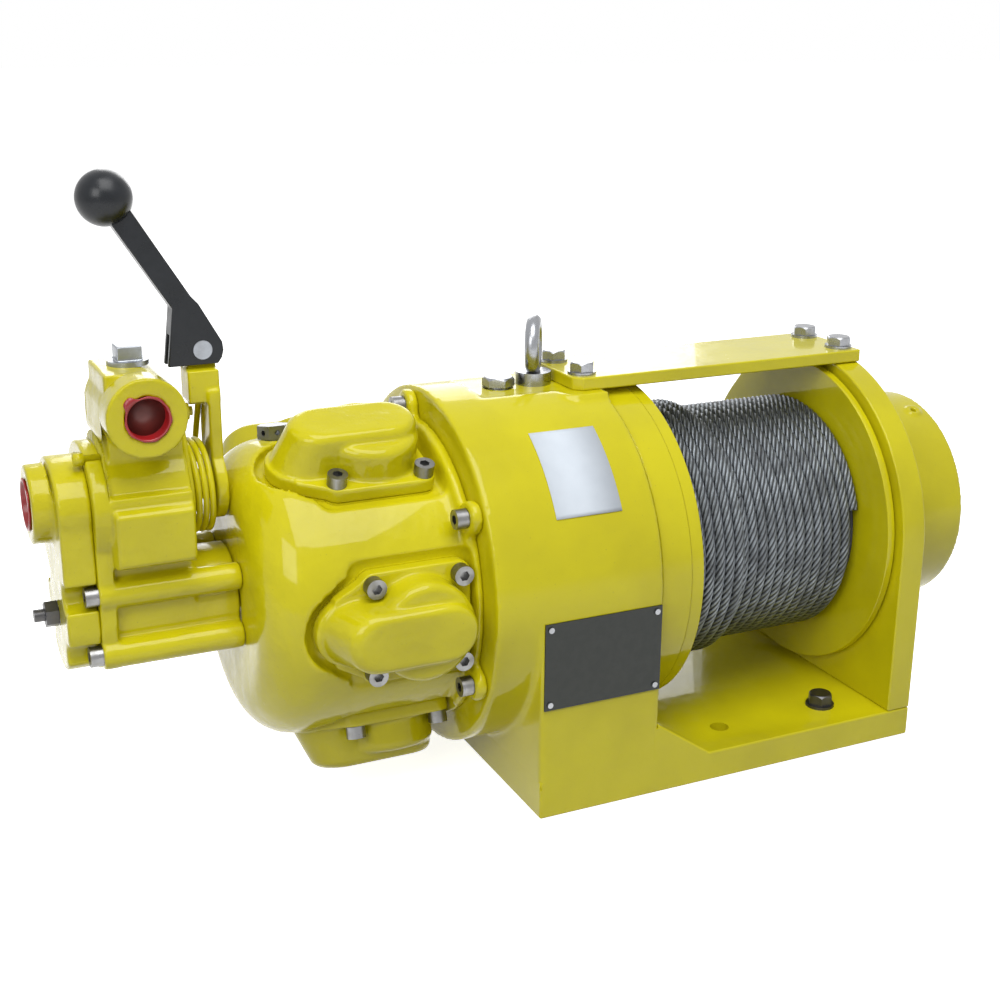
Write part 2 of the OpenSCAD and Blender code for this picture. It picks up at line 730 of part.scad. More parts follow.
// Places a piece along X at each mounting ear
module at_flange_screws(x) for (a = flange_screw_turns) radial(a) translate([x, 0, flange_screw_pcr])
    rotate([0, 90, 0]) children();

pad_margin = 6;
pad_rest_gap = 5;
module motor_case() color("yellow") difference() {
    union() {
        // bowl-shaped crankcase with a round shoulder at the valve end
        along_x(x_case_end) rotate_extrude($fn = 128) {
            square([case_r - shoulder, case_len]);
            translate([0, shoulder]) square([case_r, case_len - shoulder]);
            translate([case_r - shoulder, shoulder]) circle(r = shoulder, $fn = 128);
        }
        along_x(x_house - case_mouth) linear_extrude(case_mouth) flange_outline();
        x_rod(x_house - over, house_web, motor_spigot_r - fit_gap);
    }
    for (k = [0:head_count - 1]) at_head(k) {
        translate([0, 0, pad_up]) linear_extrude(case_r) intersection() {
            head_outline(pad_margin);
            translate([-case_len, -case_r])
                square([case_len + cyl_back - pad_rest_gap - head_steps[k], 2 * case_r]);
        }
        translate([0, 0, liner_from]) cylinder(h = pad_up - liner_from + over, r = cyl_r + liner_t
            + fit_gap);
        translate([0, 0, pad_up - screw_len]) at_head_screws()
            cylinder(h = screw_len + over, r = screw_r + fit_gap, $fn = 32);
    }
    x_rod(x_cavity, case_cavity, crankcase_r);
    x_rod(x_case_end + case_end_wall, case_len, journal_r + 2 * liner_t);
    for (x = crank_bearing_xs) x_rod(x, crank_bearing_w + (x > x_cyl ? house_web : 0), crank_bearing_r);
    at_flange_screws(x_house - case_mouth - over)
        cylinder(h = case_mouth + 2 * over, r = screw_r + fit_gap);
    at_breather() translate([0, 0, -breather_shank])
        cylinder(h = 2 * breather_shank, r = breather_shank_r + fit_gap);
    x_rod(x_case_end - over, 2 * valve_stub, valve_stub_r);
    valve_bolt_holes();
}

// Cylinder head: flange, round dome, and an oblong hood that slopes into the tongue
dome_r = 33;
dome_h = 33;
dome_edge = 6;
gasket_t = 1;
hood_w = 39;
hood_from = -34;
hood_to = 12;
hood_foot = 9;
hood_edge = 4;
hood_skin = 0.1;
module hood_slab(x0, w, z) translate([0, 0, z]) linear_extrude(hood_skin) {
    translate([x0, 0]) circle(r = w / 2, $fn = 32);
    translate([hood_to, 0]) circle(r = w / 2, $fn = 32);
}
// Places a piece at each of the four screws of a head
module at_head_screws() for (x = [-1, 1], y = [-1, 1])
    translate([x * head_screw_s, y * head_screw_s, 0]) children();

module cylinder_head(k) color("yellow") at_head(k) translate([0, 0, pad_up]) {
    difference() {
        translate([0, 0, gasket_t]) linear_extrude(head_t - gasket_t) head_outline();
        at_head_screws() cylinder(h = head_t + over, r = screw_r + fit_gap, $fn = 32);
    }
    // dome with a rounded edge
    translate([0, 0, head_t]) rotate_extrude($fn = 96) {
        square([dome_r, dome_h - head_t - dome_edge]);
        square([dome_r - dome_edge, dome_h - head_t]);
        translate([dome_r - dome_edge, dome_h - head_t - dome_edge]) intersection() {
            circle(r = dome_edge, $fn = 64);
            square(dome_edge);
        }
    }
    hull() {
        hood_slab(hood_from - hood_foot, hood_w + hood_edge, head_t - hood_edge / 4);
        hood_slab(hood_from, hood_w, hood_h - hood_edge);
        hood_slab(hood_from + hood_edge / 2, hood_w - hood_edge, hood_h - hood_edge / 4);
        hood_slab(hood_from + hood_edge, hood_w - 2 * hood_edge, hood_h - hood_skin);
    }
}

module head_gaskets() color("dimgray") for (k = [0:head_count - 1]) at_head(k) translate([0, 0, pad_up])
    linear_extrude(gasket_t) difference() {
    head_outline();
    circle(r = cyl_r);
    at_head_screws() circle(r = screw_r + fit_gap, $fn = 32);
}

module head_screws() color("silver") for (k = [0:head_count - 1]) at_head(k)
    translate([0, 0, pad_up + head_t]) at_head_screws() cap_screw();

module flange_screws() color("silver") at_flange_screws(x_house - case_mouth) rotate([180, 0, 0])
    cap_screw();

// Liners reach from the crankcase to the head
liner_from = 46;
module cylinder_liners() color("silver") for (k = [0:head_count - 1]) at_head(k)
    translate([0, 0, liner_from]) difference() {
    cylinder(h = pad_up - liner_from, r = cyl_r + liner_t);
    translate([0, 0, -over]) cylinder(h = pad_up, r = cyl_r);
}

// Each piston is drawn at the outer end of its stroke
ring_r = 20;
slipper_t = 5;
slipper_from = crank_throw + ring_r + 2 * seat_gap;
piston_len = 24;
piston_top = pad_up - gasket_t;
piston_wall = 5;
rod_r = 6;
slipper_w = 22;
wrist_r = 5;
piston_from = piston_top - piston_len;
module pistons() color("silver") for (k = [0:head_count - 1]) at_head(k) translate([0, 0, piston_from])
    difference() {
    cylinder(h = piston_len, r = cyl_r - fit_gap);
    translate([0, 0, -over]) cylinder(h = piston_len - piston_wall + over, r = cyl_r - piston_wall);
}

// Slipper rods ride on the ring of the crank pin
module connecting_rods() color("gray") for (k = [0:head_count - 1]) at_head(k) {
    difference() {
        translate([-slipper_w / 2, -slipper_w / 2, slipper_from - 2 * seat_gap])
            cube([slipper_w, slipper_w, slipper_t + 2 * seat_gap]);
        translate([-slipper_w, 0, slipper_from - ring_r]) rotate([0, 90, 0])
            cylinder(h = 2 * slipper_w, r = ring_r);
    }
    translate([0, 0, slipper_from + slipper_t - over])
        cylinder(h = piston_top - piston_wall - slipper_from - slipper_t + over - seat_gap, r = rod_r);
    translate([0, -cyl_r + piston_wall + 2 * seat_gap, piston_from + wrist_r]) rotate([-90, 0, 0])
        cylinder(h = 2 * (cyl_r - piston_wall - 2 * seat_gap), r = wrist_r);
}

crank_web_t = 9;
crank_web_r = 38;
ring_side = 3;
ring_w = slipper_w + 2 * ring_side - least_step;
x_ring = x_cyl - slipper_w / 2 - ring_side + least_step;
pin_r = 13;
x_web_front = x_ring + ring_w + seat_gap;
x_web_back = x_ring - seat_gap - crank_web_t;
x_crank_tail = x_case_end + case_end_wall;
crank_bearing_xs = [x_crank_tail, x_house - crank_bearing_w];
module crankshaft() color("gray") difference() {
    union() {
        x_rod(x_crank_tail, x_web_back - x_crank_tail + over, journal_r);
        x_rod(x_web_back, crank_web_t, crank_web_r);
        x_rod(x_web_back, x_web_front + crank_web_t - x_web_back, pin_r, 0, crank_throw);
        x_rod(x_web_front, crank_web_t, crank_web_r);
        x_rod(x_web_front, x_house - x_web_front + house_web, journal_r);
    }
    x_rod(x_house - crank_socket, crank_socket + house_web + over, sun_shaft_r + fit_gap);
}

module crank_ring() color("silver") translate([0, 0, crank_throw])
    x_tube(x_ring, ring_w, ring_r, pin_r + fit_gap);

module crank_bearings() color("silver") for (x = crank_bearing_xs)
    x_tube(x, crank_bearing_w, crank_bearing_r - fit_gap, journal_r + fit_gap);

// Breather plug with cross holes on top of the crankcase
breather_in = 100;
breather_turn = -8;
breather_across = 19;
breather_h = 9;
breather_sink = 4;
breather_shank = 12;
breather_shank_r = 7;
breather_hole_r = 1.8;
module at_breather() radial(breather_turn) translate([x_house - breather_in, 0, case_r - breather_sink])
    children();
module breather_plug() color("gray") at_breather() difference() {
    union() {
        translate([0, 0, breather_sink])
            cylinder(h = breather_h, r = breather_across * corner_share, $fn = 6);
        translate([0, 0, -breather_shank + breather_sink])
            cylinder(h = breather_shank + over, r = breather_shank_r);
    }
    for (a = [0:60:120]) translate([0, 0, breather_sink + breather_h / 2]) rotate([90, 0, a])
        cylinder(h = 2 * breather_across, r = breather_hole_r, center = true, $fn = 24);
}

/* Throttle valve on the motor's end */

valve_stub = 4;
valve_stub_r = 30;
spindle_z = axis_h + spindle_up;
// Stations along X, from the motor towards the left port
body_gap = 29;
body_len = 51;
band_t = 10;
step_len = 20;
port_len = 13;
x_body = x_case_end - body_gap;
x_body_end = x_body - body_len;
x_band_end = x_body_end - band_t;
x_step_end = x_band_end - step_len;
x_port_end = x_step_end - port_len;
lobe_r = 32;
band_r = 46;
step_r = 38;
step_foot_r = 37;
band_foot_r = 39;
port_boss_r = 25;
bolt_boss_r = 9;
valve_bolt_y = 33;
valve_bolt_dz = 20;
valve_bolt_up = 4;
bolt_boss_reach = 6;
// Upper block with the front port
block_len = 46;
block_half = 30;
block_back = 22;
block_up = 83;
block_round = 25;
block_in = 1;
x_block = x_body - block_in - block_len;
front_port_x = x_block + block_len - block_round;
front_port_z = spindle_z + block_up - block_round;
front_boss_r = 24.5;
front_boss_y = 56;
front_port_less = 2.5;
front_port_r = port_r - front_port_less;
port_depth = 30;

// Places a piece at each of the four long valve bolts
module at_valve_bolts(x) for (y = [-1, 1], z = [-1, 1])
    translate([x, y * valve_bolt_y, axis_h + valve_bolt_up + z * valve_bolt_dz]) rotate([0, 90, 0])
    children();
module valve_bolt_holes() at_valve_bolts(x_case_end) translate([0, 0, -over])
    cylinder(h = valve_bolt_in + over, r = screw_r + fit_gap, $fn = 32);
valve_bolt_in = 12;

// Outline seen along X: a round top on the spindle joined to a round foot on the motor axis
module valve_outline(top_r, foot_r) {
    translate([-spindle_up, 0]) circle(r = top_r);
    translate([-valve_bolt_up, 0]) circle(r = foot_r);
    translate([-spindle_up, -foot_r]) square([spindle_up - valve_bolt_up, 2 * foot_r]);
}

// Round body on the spindle axis, with a flat pad milled on its raised front
flat_out = 4;
flat_top = 10;
flat_low = 35;
module body_outline() {
    translate([-spindle_up, 0]) circle(r = valve_r);
    translate([-spindle_up - flat_top, -valve_r - flat_out]) square([flat_top + flat_low, valve_r]);
    translate([-valve_bolt_up, 0]) circle(r = lobe_r);
    translate([-spindle_up, -lobe_r]) square([spindle_up - valve_bolt_up, 2 * lobe_r]);
}

// Outline of the upper block seen from the front, with one round corner
module block_outline() {
    square([block_len - block_round, block_up]);
    square([block_len, block_up - block_round]);
    translate([block_len - block_round, block_up - block_round]) circle(r = block_round);
}

valve_hole_len = band_t + body_len + body_gap + 2 * over;
module valve_body() color("yellow") difference() {
    union() {
        along_x(x_body_end) linear_extrude(body_len) body_outline();
        // lower barrel that reaches the motor, and its four long screw bosses
        x_rod(x_body_end, body_len + body_gap, lobe_r - seat_gap, 0, valve_bolt_up);
        at_valve_bolts(x_body_end) cylinder(h = body_len + body_gap, r = bolt_boss_r);
        // band round the joint with the end cover
        along_x(x_band_end) linear_extrude(band_t) {
            valve_outline(band_r, band_foot_r);
            for (y = [-1, 1], z = [-1, 1]) translate([z * valve_bolt_dz - valve_bolt_up, y
                * valve_bolt_y]) circle(r = bolt_boss_r + seat_gap);
        }
        // upper block and front port boss
        translate([x_block, block_back, spindle_z]) rotate([90, 0, 0])
            linear_extrude(block_half + block_back) block_outline();
        translate([front_port_x, 0, front_port_z]) rotate([90, 0, 0])
            cylinder(h = front_boss_y, r = front_boss_r);
    }
    x_rod(x_band_end - over, band_t + body_len + over - liner_t, spool_r + fit_gap, 0, spindle_up);
    x_rod(x_body - 2 * liner_t, 3 * liner_t, spindle_r + fit_gap, 0, spindle_up);
    // front port, and the passage from it down to the spool
    translate([front_port_x, -front_boss_y + port_depth, front_port_z]) rotate([90, 0, 0])
        cylinder(h = port_depth + over, r = front_port_r);
    translate([front_port_x, 0, front_port_z]) rotate([90, 0, 0])
        cylinder(h = front_boss_y - port_depth + over, r = port_r / 2);
    translate([front_port_x, 0, spindle_z]) cylinder(h = block_up - block_round, r = port_r / 2);
    translate([front_port_x, 0, spindle_z + block_up - square_plug_shank])
        cylinder(h = square_plug_shank + over, r = square_plug_r + fit_gap);
    at_valve_bolts(x_band_end - over) cylinder(h = valve_hole_len, r = screw_r + fit_gap, $fn = 32);
    at_spring_pin() translate([0, 0, -spring_pin_in])
        cylinder(h = spring_pin_in + over, r = spring_pin_r + fit_gap);
    at_band_screw() translate([0, 0, -over])
        cylinder(h = band_screw_len + over, r = band_screw_r + fit_gap, $fn = 24);
}

// End cover with the left port
module valve_cover() color("yellow") difference() {
    union() {
        along_x(x_step_end) linear_extrude(step_len) valve_outline(step_r, step_foot_r);
        x_rod(x_port_end, port_len + over, port_boss_r, 0, spindle_up);
    }
    x_rod(x_port_end - over, port_depth + over, port_r, 0, spindle_up);
    x_rod(x_port_end, port_len + step_len + over, port_r / 2, 0, spindle_up);
    x_rod(x_step_end - over, adjust_len + over, adjust_r + fit_gap, 0, valve_bolt_up);
    // room round the heads of the long screws
    at_valve_bolts(x_step_end - over) cylinder(h = step_len + 2 * over, r = bolt_boss_r, $fn = 48);
}

// Long screws that hold the valve to the motor
valve_screw_len = band_t + body_len + body_gap + valve_bolt_in - 2 * over;
module valve_screws() color("silver") at_valve_bolts(x_band_end) rotate([180, 0, 0])
    cap_screw(valve_screw_len);

adjust_r = 4;
adjust_len = 14;
adjust_out = 15;
adjust_nut_across = 15;
adjust_nut_t = 8;
slot_w = 1.2;
slot_deep = 2;
module adjusting_screw() color("silver") difference() {
    x_rod(x_step_end - adjust_out, adjust_out + adjust_len, adjust_r, 0, valve_bolt_up);
    translate([x_step_end - adjust_out - over, -slot_w / 2, axis_h + valve_bolt_up - 2 * adjust_r])
        cube([slot_deep + over, slot_w, 4 * adjust_r]);
}

module lock_nut() color("dimgray") translate([x_step_end - seat_gap, 0, axis_h + valve_bolt_up])
    rotate([0, -90, 0]) difference() {
    cylinder(h = adjust_nut_t, r = adjust_nut_across * corner_share, $fn = 6);
    translate([0, 0, -over]) cylinder(h = adjust_nut_t + 2 * over, r = adjust_r + fit_gap);
}

// Small screw that lies half sunk along the top of the band
band_screw_r = 2.2;
band_screw_len = 10;
band_screw_head_r = 4;
band_screw_head = 6;
band_screw_y = -22;
band_screw_up = sqrt(band_r ^ 2 - band_screw_y ^ 2);
module at_band_screw() translate([x_band_end, band_screw_y, spindle_z + band_screw_up])
    rotate([0, 90, 0]) children();
module band_screw() color("yellow") at_band_screw() {
    cylinder(h = band_screw_len, r = band_screw_r, $fn = 24);
    translate([0, 0, -band_screw_head - seat_gap])
        cylinder(h = band_screw_head, r = band_screw_head_r, $fn = 24);
    translate([0, 0, -seat_gap - over]) cylinder(h = 2 * over, r = band_screw_r, $fn = 24);
}

square_plug_r = 8;
square_plug_shank = 8;
square_flange_r = 13;
square_flange_t = 3;
square_across = 15.5;
square_h = 9;
module square_plug() color("gray") translate([front_port_x, 0, spindle_z + block_up]) {
    translate([0, 0, -square_plug_shank]) cylinder(h = square_plug_shank, r = square_plug_r);
    cylinder(h = square_flange_t, r = square_flange_r);
    translate([-square_across / 2, -square_across / 2, square_flange_t])
        cube([square_across, square_across, square_h]);
}

// Plastic plugs that keep dirt out of the two ports, each a cup with a tab
cap_wall = 1.2;
cap_rim = 1.4;
cap_depth = 16;
tab_r = 5;
module port_cup(r) difference() {
    union() {
        cylinder(h = cap_depth, r = r - fit_gap);
        translate([0, 0, -cap_rim]) cylinder(h = cap_rim, r = r + cap_rim);
        // pull tab that sticks out past the rim
        translate([-r, r / 2, -cap_rim]) cylinder(h = cap_rim, r = tab_r, $fn = 32);
    }
    translate([0, 0, -cap_rim - over])
        cylinder(h = cap_depth - cap_wall + cap_rim + over, r = r - cap_wall);
}
module port_caps() color("red") {
    translate([x_port_end, 0, spindle_z]) rotate([0, 90, 0]) port_cup(port_r);
    translate([front_port_x, -front_boss_y, front_port_z]) rotate([-90, 0, 0]) port_cup(front_port_r);
}

/* Throttle lever, all of it on the spindle */

spindle_r = 10;
collar_r = 23;
collar_t = 8;
collar_gap = 1;
x_collar = x_case_end - collar_gap - collar_t;
arm_t = 8;
arm_w = 26;
lever_up = 89;
lever_back = 0.5;
block_w = 22;
tongue_t = 5.4;
tongue_r = 9;
block_x0 = -11;
block_x1 = 9;
block_top = -12.4;
block_low = -33;
pivot_z = spindle_z + lever_up;
pivot_x = x_collar - lever_back;
nub_up = 56;
nub_r = 3;
nub_len = 10;
pivot_r = 6;
module throttle_spindle() color("yellow") difference() {
    union() {
        x_rod(x_band_end + seat_gap, band_t + body_len - liner_t - 2 * seat_gap, spool_r, 0, spindle_up);
        x_rod(x_body - liner_t - over, x_collar - x_body + liner_t + 2 * over, spindle_r, 0, spindle_up);
        x_rod(x_collar, collar_t, collar_r, 0, spindle_up);
        // arm up to the block under the lever, with a round foot on the collar
        translate([x_collar, -arm_w / 2, spindle_z]) cube([arm_t, arm_w, lever_up + block_low + arm_t]);
        translate([pivot_x + block_x0, -block_w / 2, pivot_z + block_low])
            cube([block_x1 - block_x0, block_w, block_top - block_low]);
        // tongue that the lever straddles
        translate([pivot_x, tongue_t / 2, pivot_z]) rotate([90, 0, 0]) linear_extrude(tongue_t) {
            circle(r = tongue_r);
            translate([-tongue_r, block_low]) square([2 * tongue_r, -block_low]);
        }
        // nub that pushes the return spring's legs apart
        x_rod(x_collar - nub_len, nub_len + over, nub_r, 0, spindle_up + nub_up);
    }
    translate([pivot_x, block_w, pivot_z]) rotate([90, 0, 0])
        cylinder(h = 2 * block_w, r = pivot_r + fit_gap);
    // flow notch in the spool
    translate([front_port_x, 0, spindle_z + spool_r]) rotate([90, 0, 0])
        cylinder(h = 3 * spool_r, r = port_r / 2, center = true);
}

// Pin with a washer, in the upper block; the return spring's legs close on it
spring_pin_up = 49;
spring_pin_r = 3;
spring_pin_in = 10;
spring_pin_out = 13;
spring_washer_r = 5.5;
spring_washer_t = 1.5;
spring_washer_out = 9;
module at_spring_pin() translate([x_block + block_len, 0, spindle_z + spring_pin_up]) rotate([0, 90, 0])
    children();
module spring_pin() color("silver") at_spring_pin() {
    translate([0, 0, -spring_pin_in]) cylinder(h = spring_pin_in + spring_pin_out, r = spring_pin_r);
    translate([0, 0, spring_washer_out]) cylinder(h = spring_washer_t, r = spring_washer_r);
}

// Torsion spring round the spindle: both legs run straight up to the pin from where they leave the curls
spring_r = 29;
spring_gap = 0.5;
spring_pitch = spring_wire + spring_gap;
spring_steps = 24;
spring_sides = 6;
leg_y = max(spring_pin_r, nub_r) + spring_wire / 2 + seat_gap;
leg_up = nub_up - nub_r / 3;
leg_turn = atan(leg_y / leg_up) + acos(spring_r / norm([leg_y, leg_up]));
spring_sweep = 360 * (spring_curls + 1) - 2 * leg_turn;
x_spring = x_collar - spring_gap / 2 - spring_wire / 2;
function spring_at(i) = let (a = leg_turn + spring_sweep * i / spring_steps)
    [x_spring - spring_pitch * (a - leg_turn) / 360, spring_r * sin(a), spindle_z + spring_r * cos(a)];
spring_path = [for (i = [0:spring_steps]) spring_at(i)];
spring_points = concat([[spring_path[0][0], leg_y, spindle_z + leg_up]], spring_path,
    [[spring_path[spring_steps][0], -leg_y, spindle_z + leg_up]]);
echo(least_gap_of_spring_curls = spring_pitch - spring_wire);
module return_spring() color("yellow")
    swept_tube(spring_points, spring_wire / 2, spring_sides, [for (p = spring_points) [1, 0, 0]]);

// Lever: a blade that straddles the tongue, a flat tapered arm and a ball knob, seen from the front
blade_low = -9.5;
blade_foot = -22;
blade_left = [-17.5, 27];
blade_nose_r = 13.5;
nose_angles = [-44, -25, -5, 18];
arm_left = [-52, 82];
arm_right = [-40, 90];
shoulder_at = [-1, 29];
arm_from = [-5.5, 34];
cheek_gap = 0.4;
module blade_outline() polygon(concat([arm_left, blade_left, [blade_foot, blade_low]],
    [for (a = nose_angles) blade_nose_r * [cos(a), sin(a)]], [shoulder_at, arm_from, arm_right]));
module hand_lever() color("black") translate([pivot_x, 0, pivot_z]) difference() {
    union() {
        rotate([0, -lever_lean, 0]) translate([0, 0, lever_len]) sphere(r = knob_r, $fn = 64);
        translate([0, blade_t / 2, 0]) rotate([90, 0, 0]) linear_extrude(blade_t) blade_outline();
    }
    // slot for the tongue, and the hole for the pin
    translate([-blade_nose_r + blade_foot, -tongue_t / 2 - cheek_gap, 2 * blade_low])
        cube([3 * blade_nose_r - blade_foot, tongue_t + 2 * cheek_gap, tongue_r + 2 * cheek_gap - 2
            * blade_low]);
    rotate([90, 0, 0]) cylinder(h = 2 * blade_t, r = pivot_r + fit_gap, center = true);
}
module pivot_pin() color("silver") translate([pivot_x, 0, pivot_z]) rotate([90, 0, 0])
    cylinder(h = blade_t + over, r = pivot_r, center = true);

base_plate();
gear_housing();
outboard_upright();
tie_bar();
tie_bar_bolts();
hold_down_bolts();
eye_bolt();
filler_plug();
name_plate();
name_plate_rivets();
blank_label();
outboard_bearing_housing();
housing_end_cover();
bearing_outer_races();
bearing_inner_races();
bearing_balls();
ring_gear();
planet_gear(0);  // planet_gear_1
planet_gear(1);  // planet_gear_2
planet_gear(2);  // planet_gear_3
planet_carrier();
sun_shaft();
brake_plates();
brake_friction_discs();
brake_piston();
brake_disc_springs();
drum_barrel();
drum_left_flange();
drum_right_flange();
drum_shaft();
wire_rope();
motor_case();
cylinder_head(0);  // cylinder_head_1
cylinder_head(1);  // cylinder_head_2
cylinder_head(2);  // cylinder_head_3
cylinder_head(3);  // cylinder_head_4
cylinder_head(4);  // cylinder_head_5
head_gaskets();
head_screws();
flange_screws();
cylinder_liners();
pistons();
connecting_rods();
crankshaft();
crank_ring();
crank_bearings();
breather_plug();
valve_body();
valve_cover();
valve_screws();
adjusting_screw();
lock_nut();
band_screw();
square_plug();
port_caps();
throttle_spindle();
spring_pin();
return_spring();
hand_lever();
pivot_pin();
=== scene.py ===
"""Air winch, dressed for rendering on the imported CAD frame.

Everything is in metres in the CAD's own frame: X runs along the drum axis from
the motor to the outboard end, Z is up, and the origin is on the underside.
"""

import logging
import math
from dataclasses import dataclass, field
from enum import Enum

import bmesh
import bpy
import numpy as np
from bpy.types import Material, Mesh, Node, Object
from bpy.types import NodeSocket as Socket
from mathutils import Matrix


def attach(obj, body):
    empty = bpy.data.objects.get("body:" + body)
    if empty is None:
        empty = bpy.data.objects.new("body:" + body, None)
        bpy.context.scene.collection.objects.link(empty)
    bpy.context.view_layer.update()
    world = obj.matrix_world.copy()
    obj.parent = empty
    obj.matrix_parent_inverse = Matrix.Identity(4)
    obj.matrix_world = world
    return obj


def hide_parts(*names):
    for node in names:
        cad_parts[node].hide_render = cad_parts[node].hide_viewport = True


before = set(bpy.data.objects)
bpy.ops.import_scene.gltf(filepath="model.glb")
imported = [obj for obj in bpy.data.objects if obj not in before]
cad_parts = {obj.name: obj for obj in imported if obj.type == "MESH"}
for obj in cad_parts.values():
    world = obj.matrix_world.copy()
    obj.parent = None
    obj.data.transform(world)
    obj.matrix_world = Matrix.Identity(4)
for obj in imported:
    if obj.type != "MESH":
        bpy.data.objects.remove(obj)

LOG = logging.getLogger("air_winch")
Colour = tuple[float, float, float]
Point = tuple[float, float, float]
Pair = tuple[float, float]
MM = 0.001
AXIS_H = 146 * MM
X_HOUSE = -193 * MM
SAME_POINT = 2e-6
SAME_RING_POINT = 1e-7
RELAX_PULL = 0.5
FLAT_ANGLE = math.radians(0.6)
CROWN = "crown"


class Body(Enum):
    """The CAD bodies that pieces ride on."""

    FRAME = "frame"
    DRUM = "drum"
    THROTTLE = "throttle"
    LEVER = "lever"


class Slot(Enum):
    """The record's material slot names."""

    YELLOW = "yellow_paint"
    ZINC = "zinc"
    STEEL = "steel"
    ROPE = "rope"
    LABEL = "label"
    RED = "red_plastic"
    BLACK = "black_lever"


class NodeSheet:
    """A new material with one Principled shader and short calls to add nodes to it."""

    def __init__(self, name: str) -> None:
        """Starts the material.

        Args:
            name: The material's name.
        """
        self.material = bpy.data.materials.new(name)
        self.material.use_nodes = True
        self.tree = self.material.node_tree
        self.tree.nodes.clear()
        out = self.tree.nodes.new("ShaderNodeOutputMaterial")
        self.shader = self.tree.nodes.new("ShaderNodeBsdfPrincipled")
        self.tree.links.new(self.shader.outputs["BSDF"], out.inputs["Surface"])

    def add(self, kind: str, inputs: dict, **settings: object) -> Node:
        """Adds a node.

        Args:
            kind: The node's type name without the ShaderNode prefix.
            inputs: Socket name or number to a value or to another node's output.
            settings: Properties of the node.

        Returns:
            The new node.
        """
        node = self.tree.nodes.new("ShaderNode" + kind)
        for key, value in settings.items():
            setattr(node, key, value)
        for key, value in inputs.items():
            if isinstance(value, Socket):
                self.tree.links.new(value, node.inputs[key])
            else:
                node.inputs[key].default_value = value
        return node

    def set(self, **values: object) -> None:
        """Sets or links the shader's sockets.

        Args:
            values: Socket name, with underscores for spaces, to a value or an output.
        """
        for key, value in values.items():
            socket = self.shader.inputs[key.replace("_", " ")]
            if isinstance(value, Socket):
                self.tree.links.new(value, socket)
            else:
                socket.default_value = value

    def place(self, stretch: Point = (1.0, 1.0, 1.0)) -> Socket:
        """Gives the object's coordinates, stretched by a factor along each axis."""
        coord = self.add("TexCoord", {})
        return self.add("Mapping", {"Vector": coord.outputs["Object"], "Scale": stretch}).outputs[0]

    def noise(self, place: Socket, scale: float, detail: float = 2.0, rough: float = 0.5) -> Socket:
        """Adds a noise pattern.

        Args:
            place: Coordinates.
            scale: Lumps per metre.
            detail: Octaves.
            rough: Share of the finer octaves.

        Returns:
            A value socket near 0.5.
        """
        inputs = {"Vector": place, "Scale": scale, "Detail": detail, "Roughness": rough}
        return self.add("TexNoise", inputs, noise_dimensions="3D").outputs[0]

    def span(self, value: Socket, low: float, high: float, to_low: float, to_high: float) -> Socket:
        """Maps a value's range onto another, clamped.

        Args:
            value: The socket to map.
            low: Start of its range.
            high: End of its range.
            to_low: What low becomes.
            to_high: What high becomes.

        Returns:
            A value socket.
        """
        inputs = {"Value": value, 1: low, 2: high, 3: to_low, 4: to_high}
        return self.add("MapRange", inputs, clamp=True).outputs[0]

    def blend(self, share: Socket, a: object, b: object) -> Socket:
        """Mixes two colours.

        Args:
            share: How much of b.
            a: A colour or a socket.
            b: A colour or a socket.

        Returns:
            A colour socket.
        """
        a, b = [(*c, 1.0) if isinstance(c, tuple) else c for c in (a, b)]
        return self.add("Mix", {0: share, 6: a, 7: b}, data_type="RGBA").outputs[2]

    def sum(self, kind: str, a: object, b: object) -> Socket:
        """Joins two values with a Math node.

        Args:
            kind: The Math node's operation.
            a: A number or a socket.
            b: A number or a socket.

        Returns:
            A value socket.
        """
        return self.add("Math", {0: a, 1: b}, operation=kind).outputs[0]

    def bump(self, height: Socket, depth: float, under: Socket | None = None) -> Socket:
        """Adds a bump.

        Args:
            height: Height from 0 to 1.
            depth: What a height of 1 stands for, in metres.
            under: The normal of a coarser bump.

        Returns:
            A normal socket.
        """
        inputs = {"Height": height, "Distance": depth, "Strength": 1.0}
        if under is not None:
            inputs["Normal"] = under
        return self.add("Bump", inputs).outputs[0]


@dataclass(frozen=True)
class Enamel:
    """Thick glossy enamel: lumps of the casting, orange peel over them, dull patches and specks.

    With painted hollow shade on, the colour also darkens in the hollows between raised parts: shade painted
    into the colour.
    """

    name: str
    lump_size: float = 26 * MM
    lump_height: float = 1.9 * MM
    peel_size: float = 5.0 * MM
    peel_height: float = 0.32 * MM
    shine: float = 0.14
    colour: Colour = (0.66, 0.59, 0.006)
    worn: Colour = (0.53, 0.465, 0.008)
    # Painted shade: the colour that the hollows between raised parts darken towards.
    hollow_shade: Colour = (0.36, 0.31, 0.008)
    speck: Colour = (0.40, 0.35, 0.02)
    shades_hollows: bool = False

    def make(self) -> Material:
        """Builds the material.

        Returns:
            The material.
        """
        s = NodeSheet(self.name)
        place = s.place()
        cloud = s.noise(place, 1 / (60 * MM), 3.0)
        lumps = s.noise(place, 1 / self.lump_size, 2.0, 0.45)
        peel = s.noise(place, 1 / self.peel_size, 2.0, 0.6)
        colour = s.blend(s.span(cloud, 0.42, 0.66, 0.0, 0.55), self.colour, self.worn)
        # Painted shade: where the surface is concave, the colour darkens towards the hollow shade colour.
        if self.shades_hollows:
            point = s.add("NewGeometry", {}).outputs["Pointiness"]
            colour = s.blend(s.span(point, 0.495, 0.44, 0.0, 0.55), colour, self.hollow_shade)
        specks = s.noise(place, 1 / (1.3 * MM), 1.0)
        colour = s.blend(s.span(specks, 0.72, 0.80, 0.0, 0.5), colour, self.speck)
        grain = s.span(s.noise(place, 1 / (9 * MM), 4.0, 0.6), 0.35, 0.75, self.shine, self.shine + 0.16)
        normal = s.bump(peel, self.peel_height, s.bump(lumps, self.lump_height))
        s.set(Base_Color=colour, Roughness=grain, Normal=normal, Metallic=0.0, IOR=1.5)
        s.set(Specular_IOR_Level=0.06, Coat_Weight=0.45, Coat_Roughness=0.035)
        return s.material


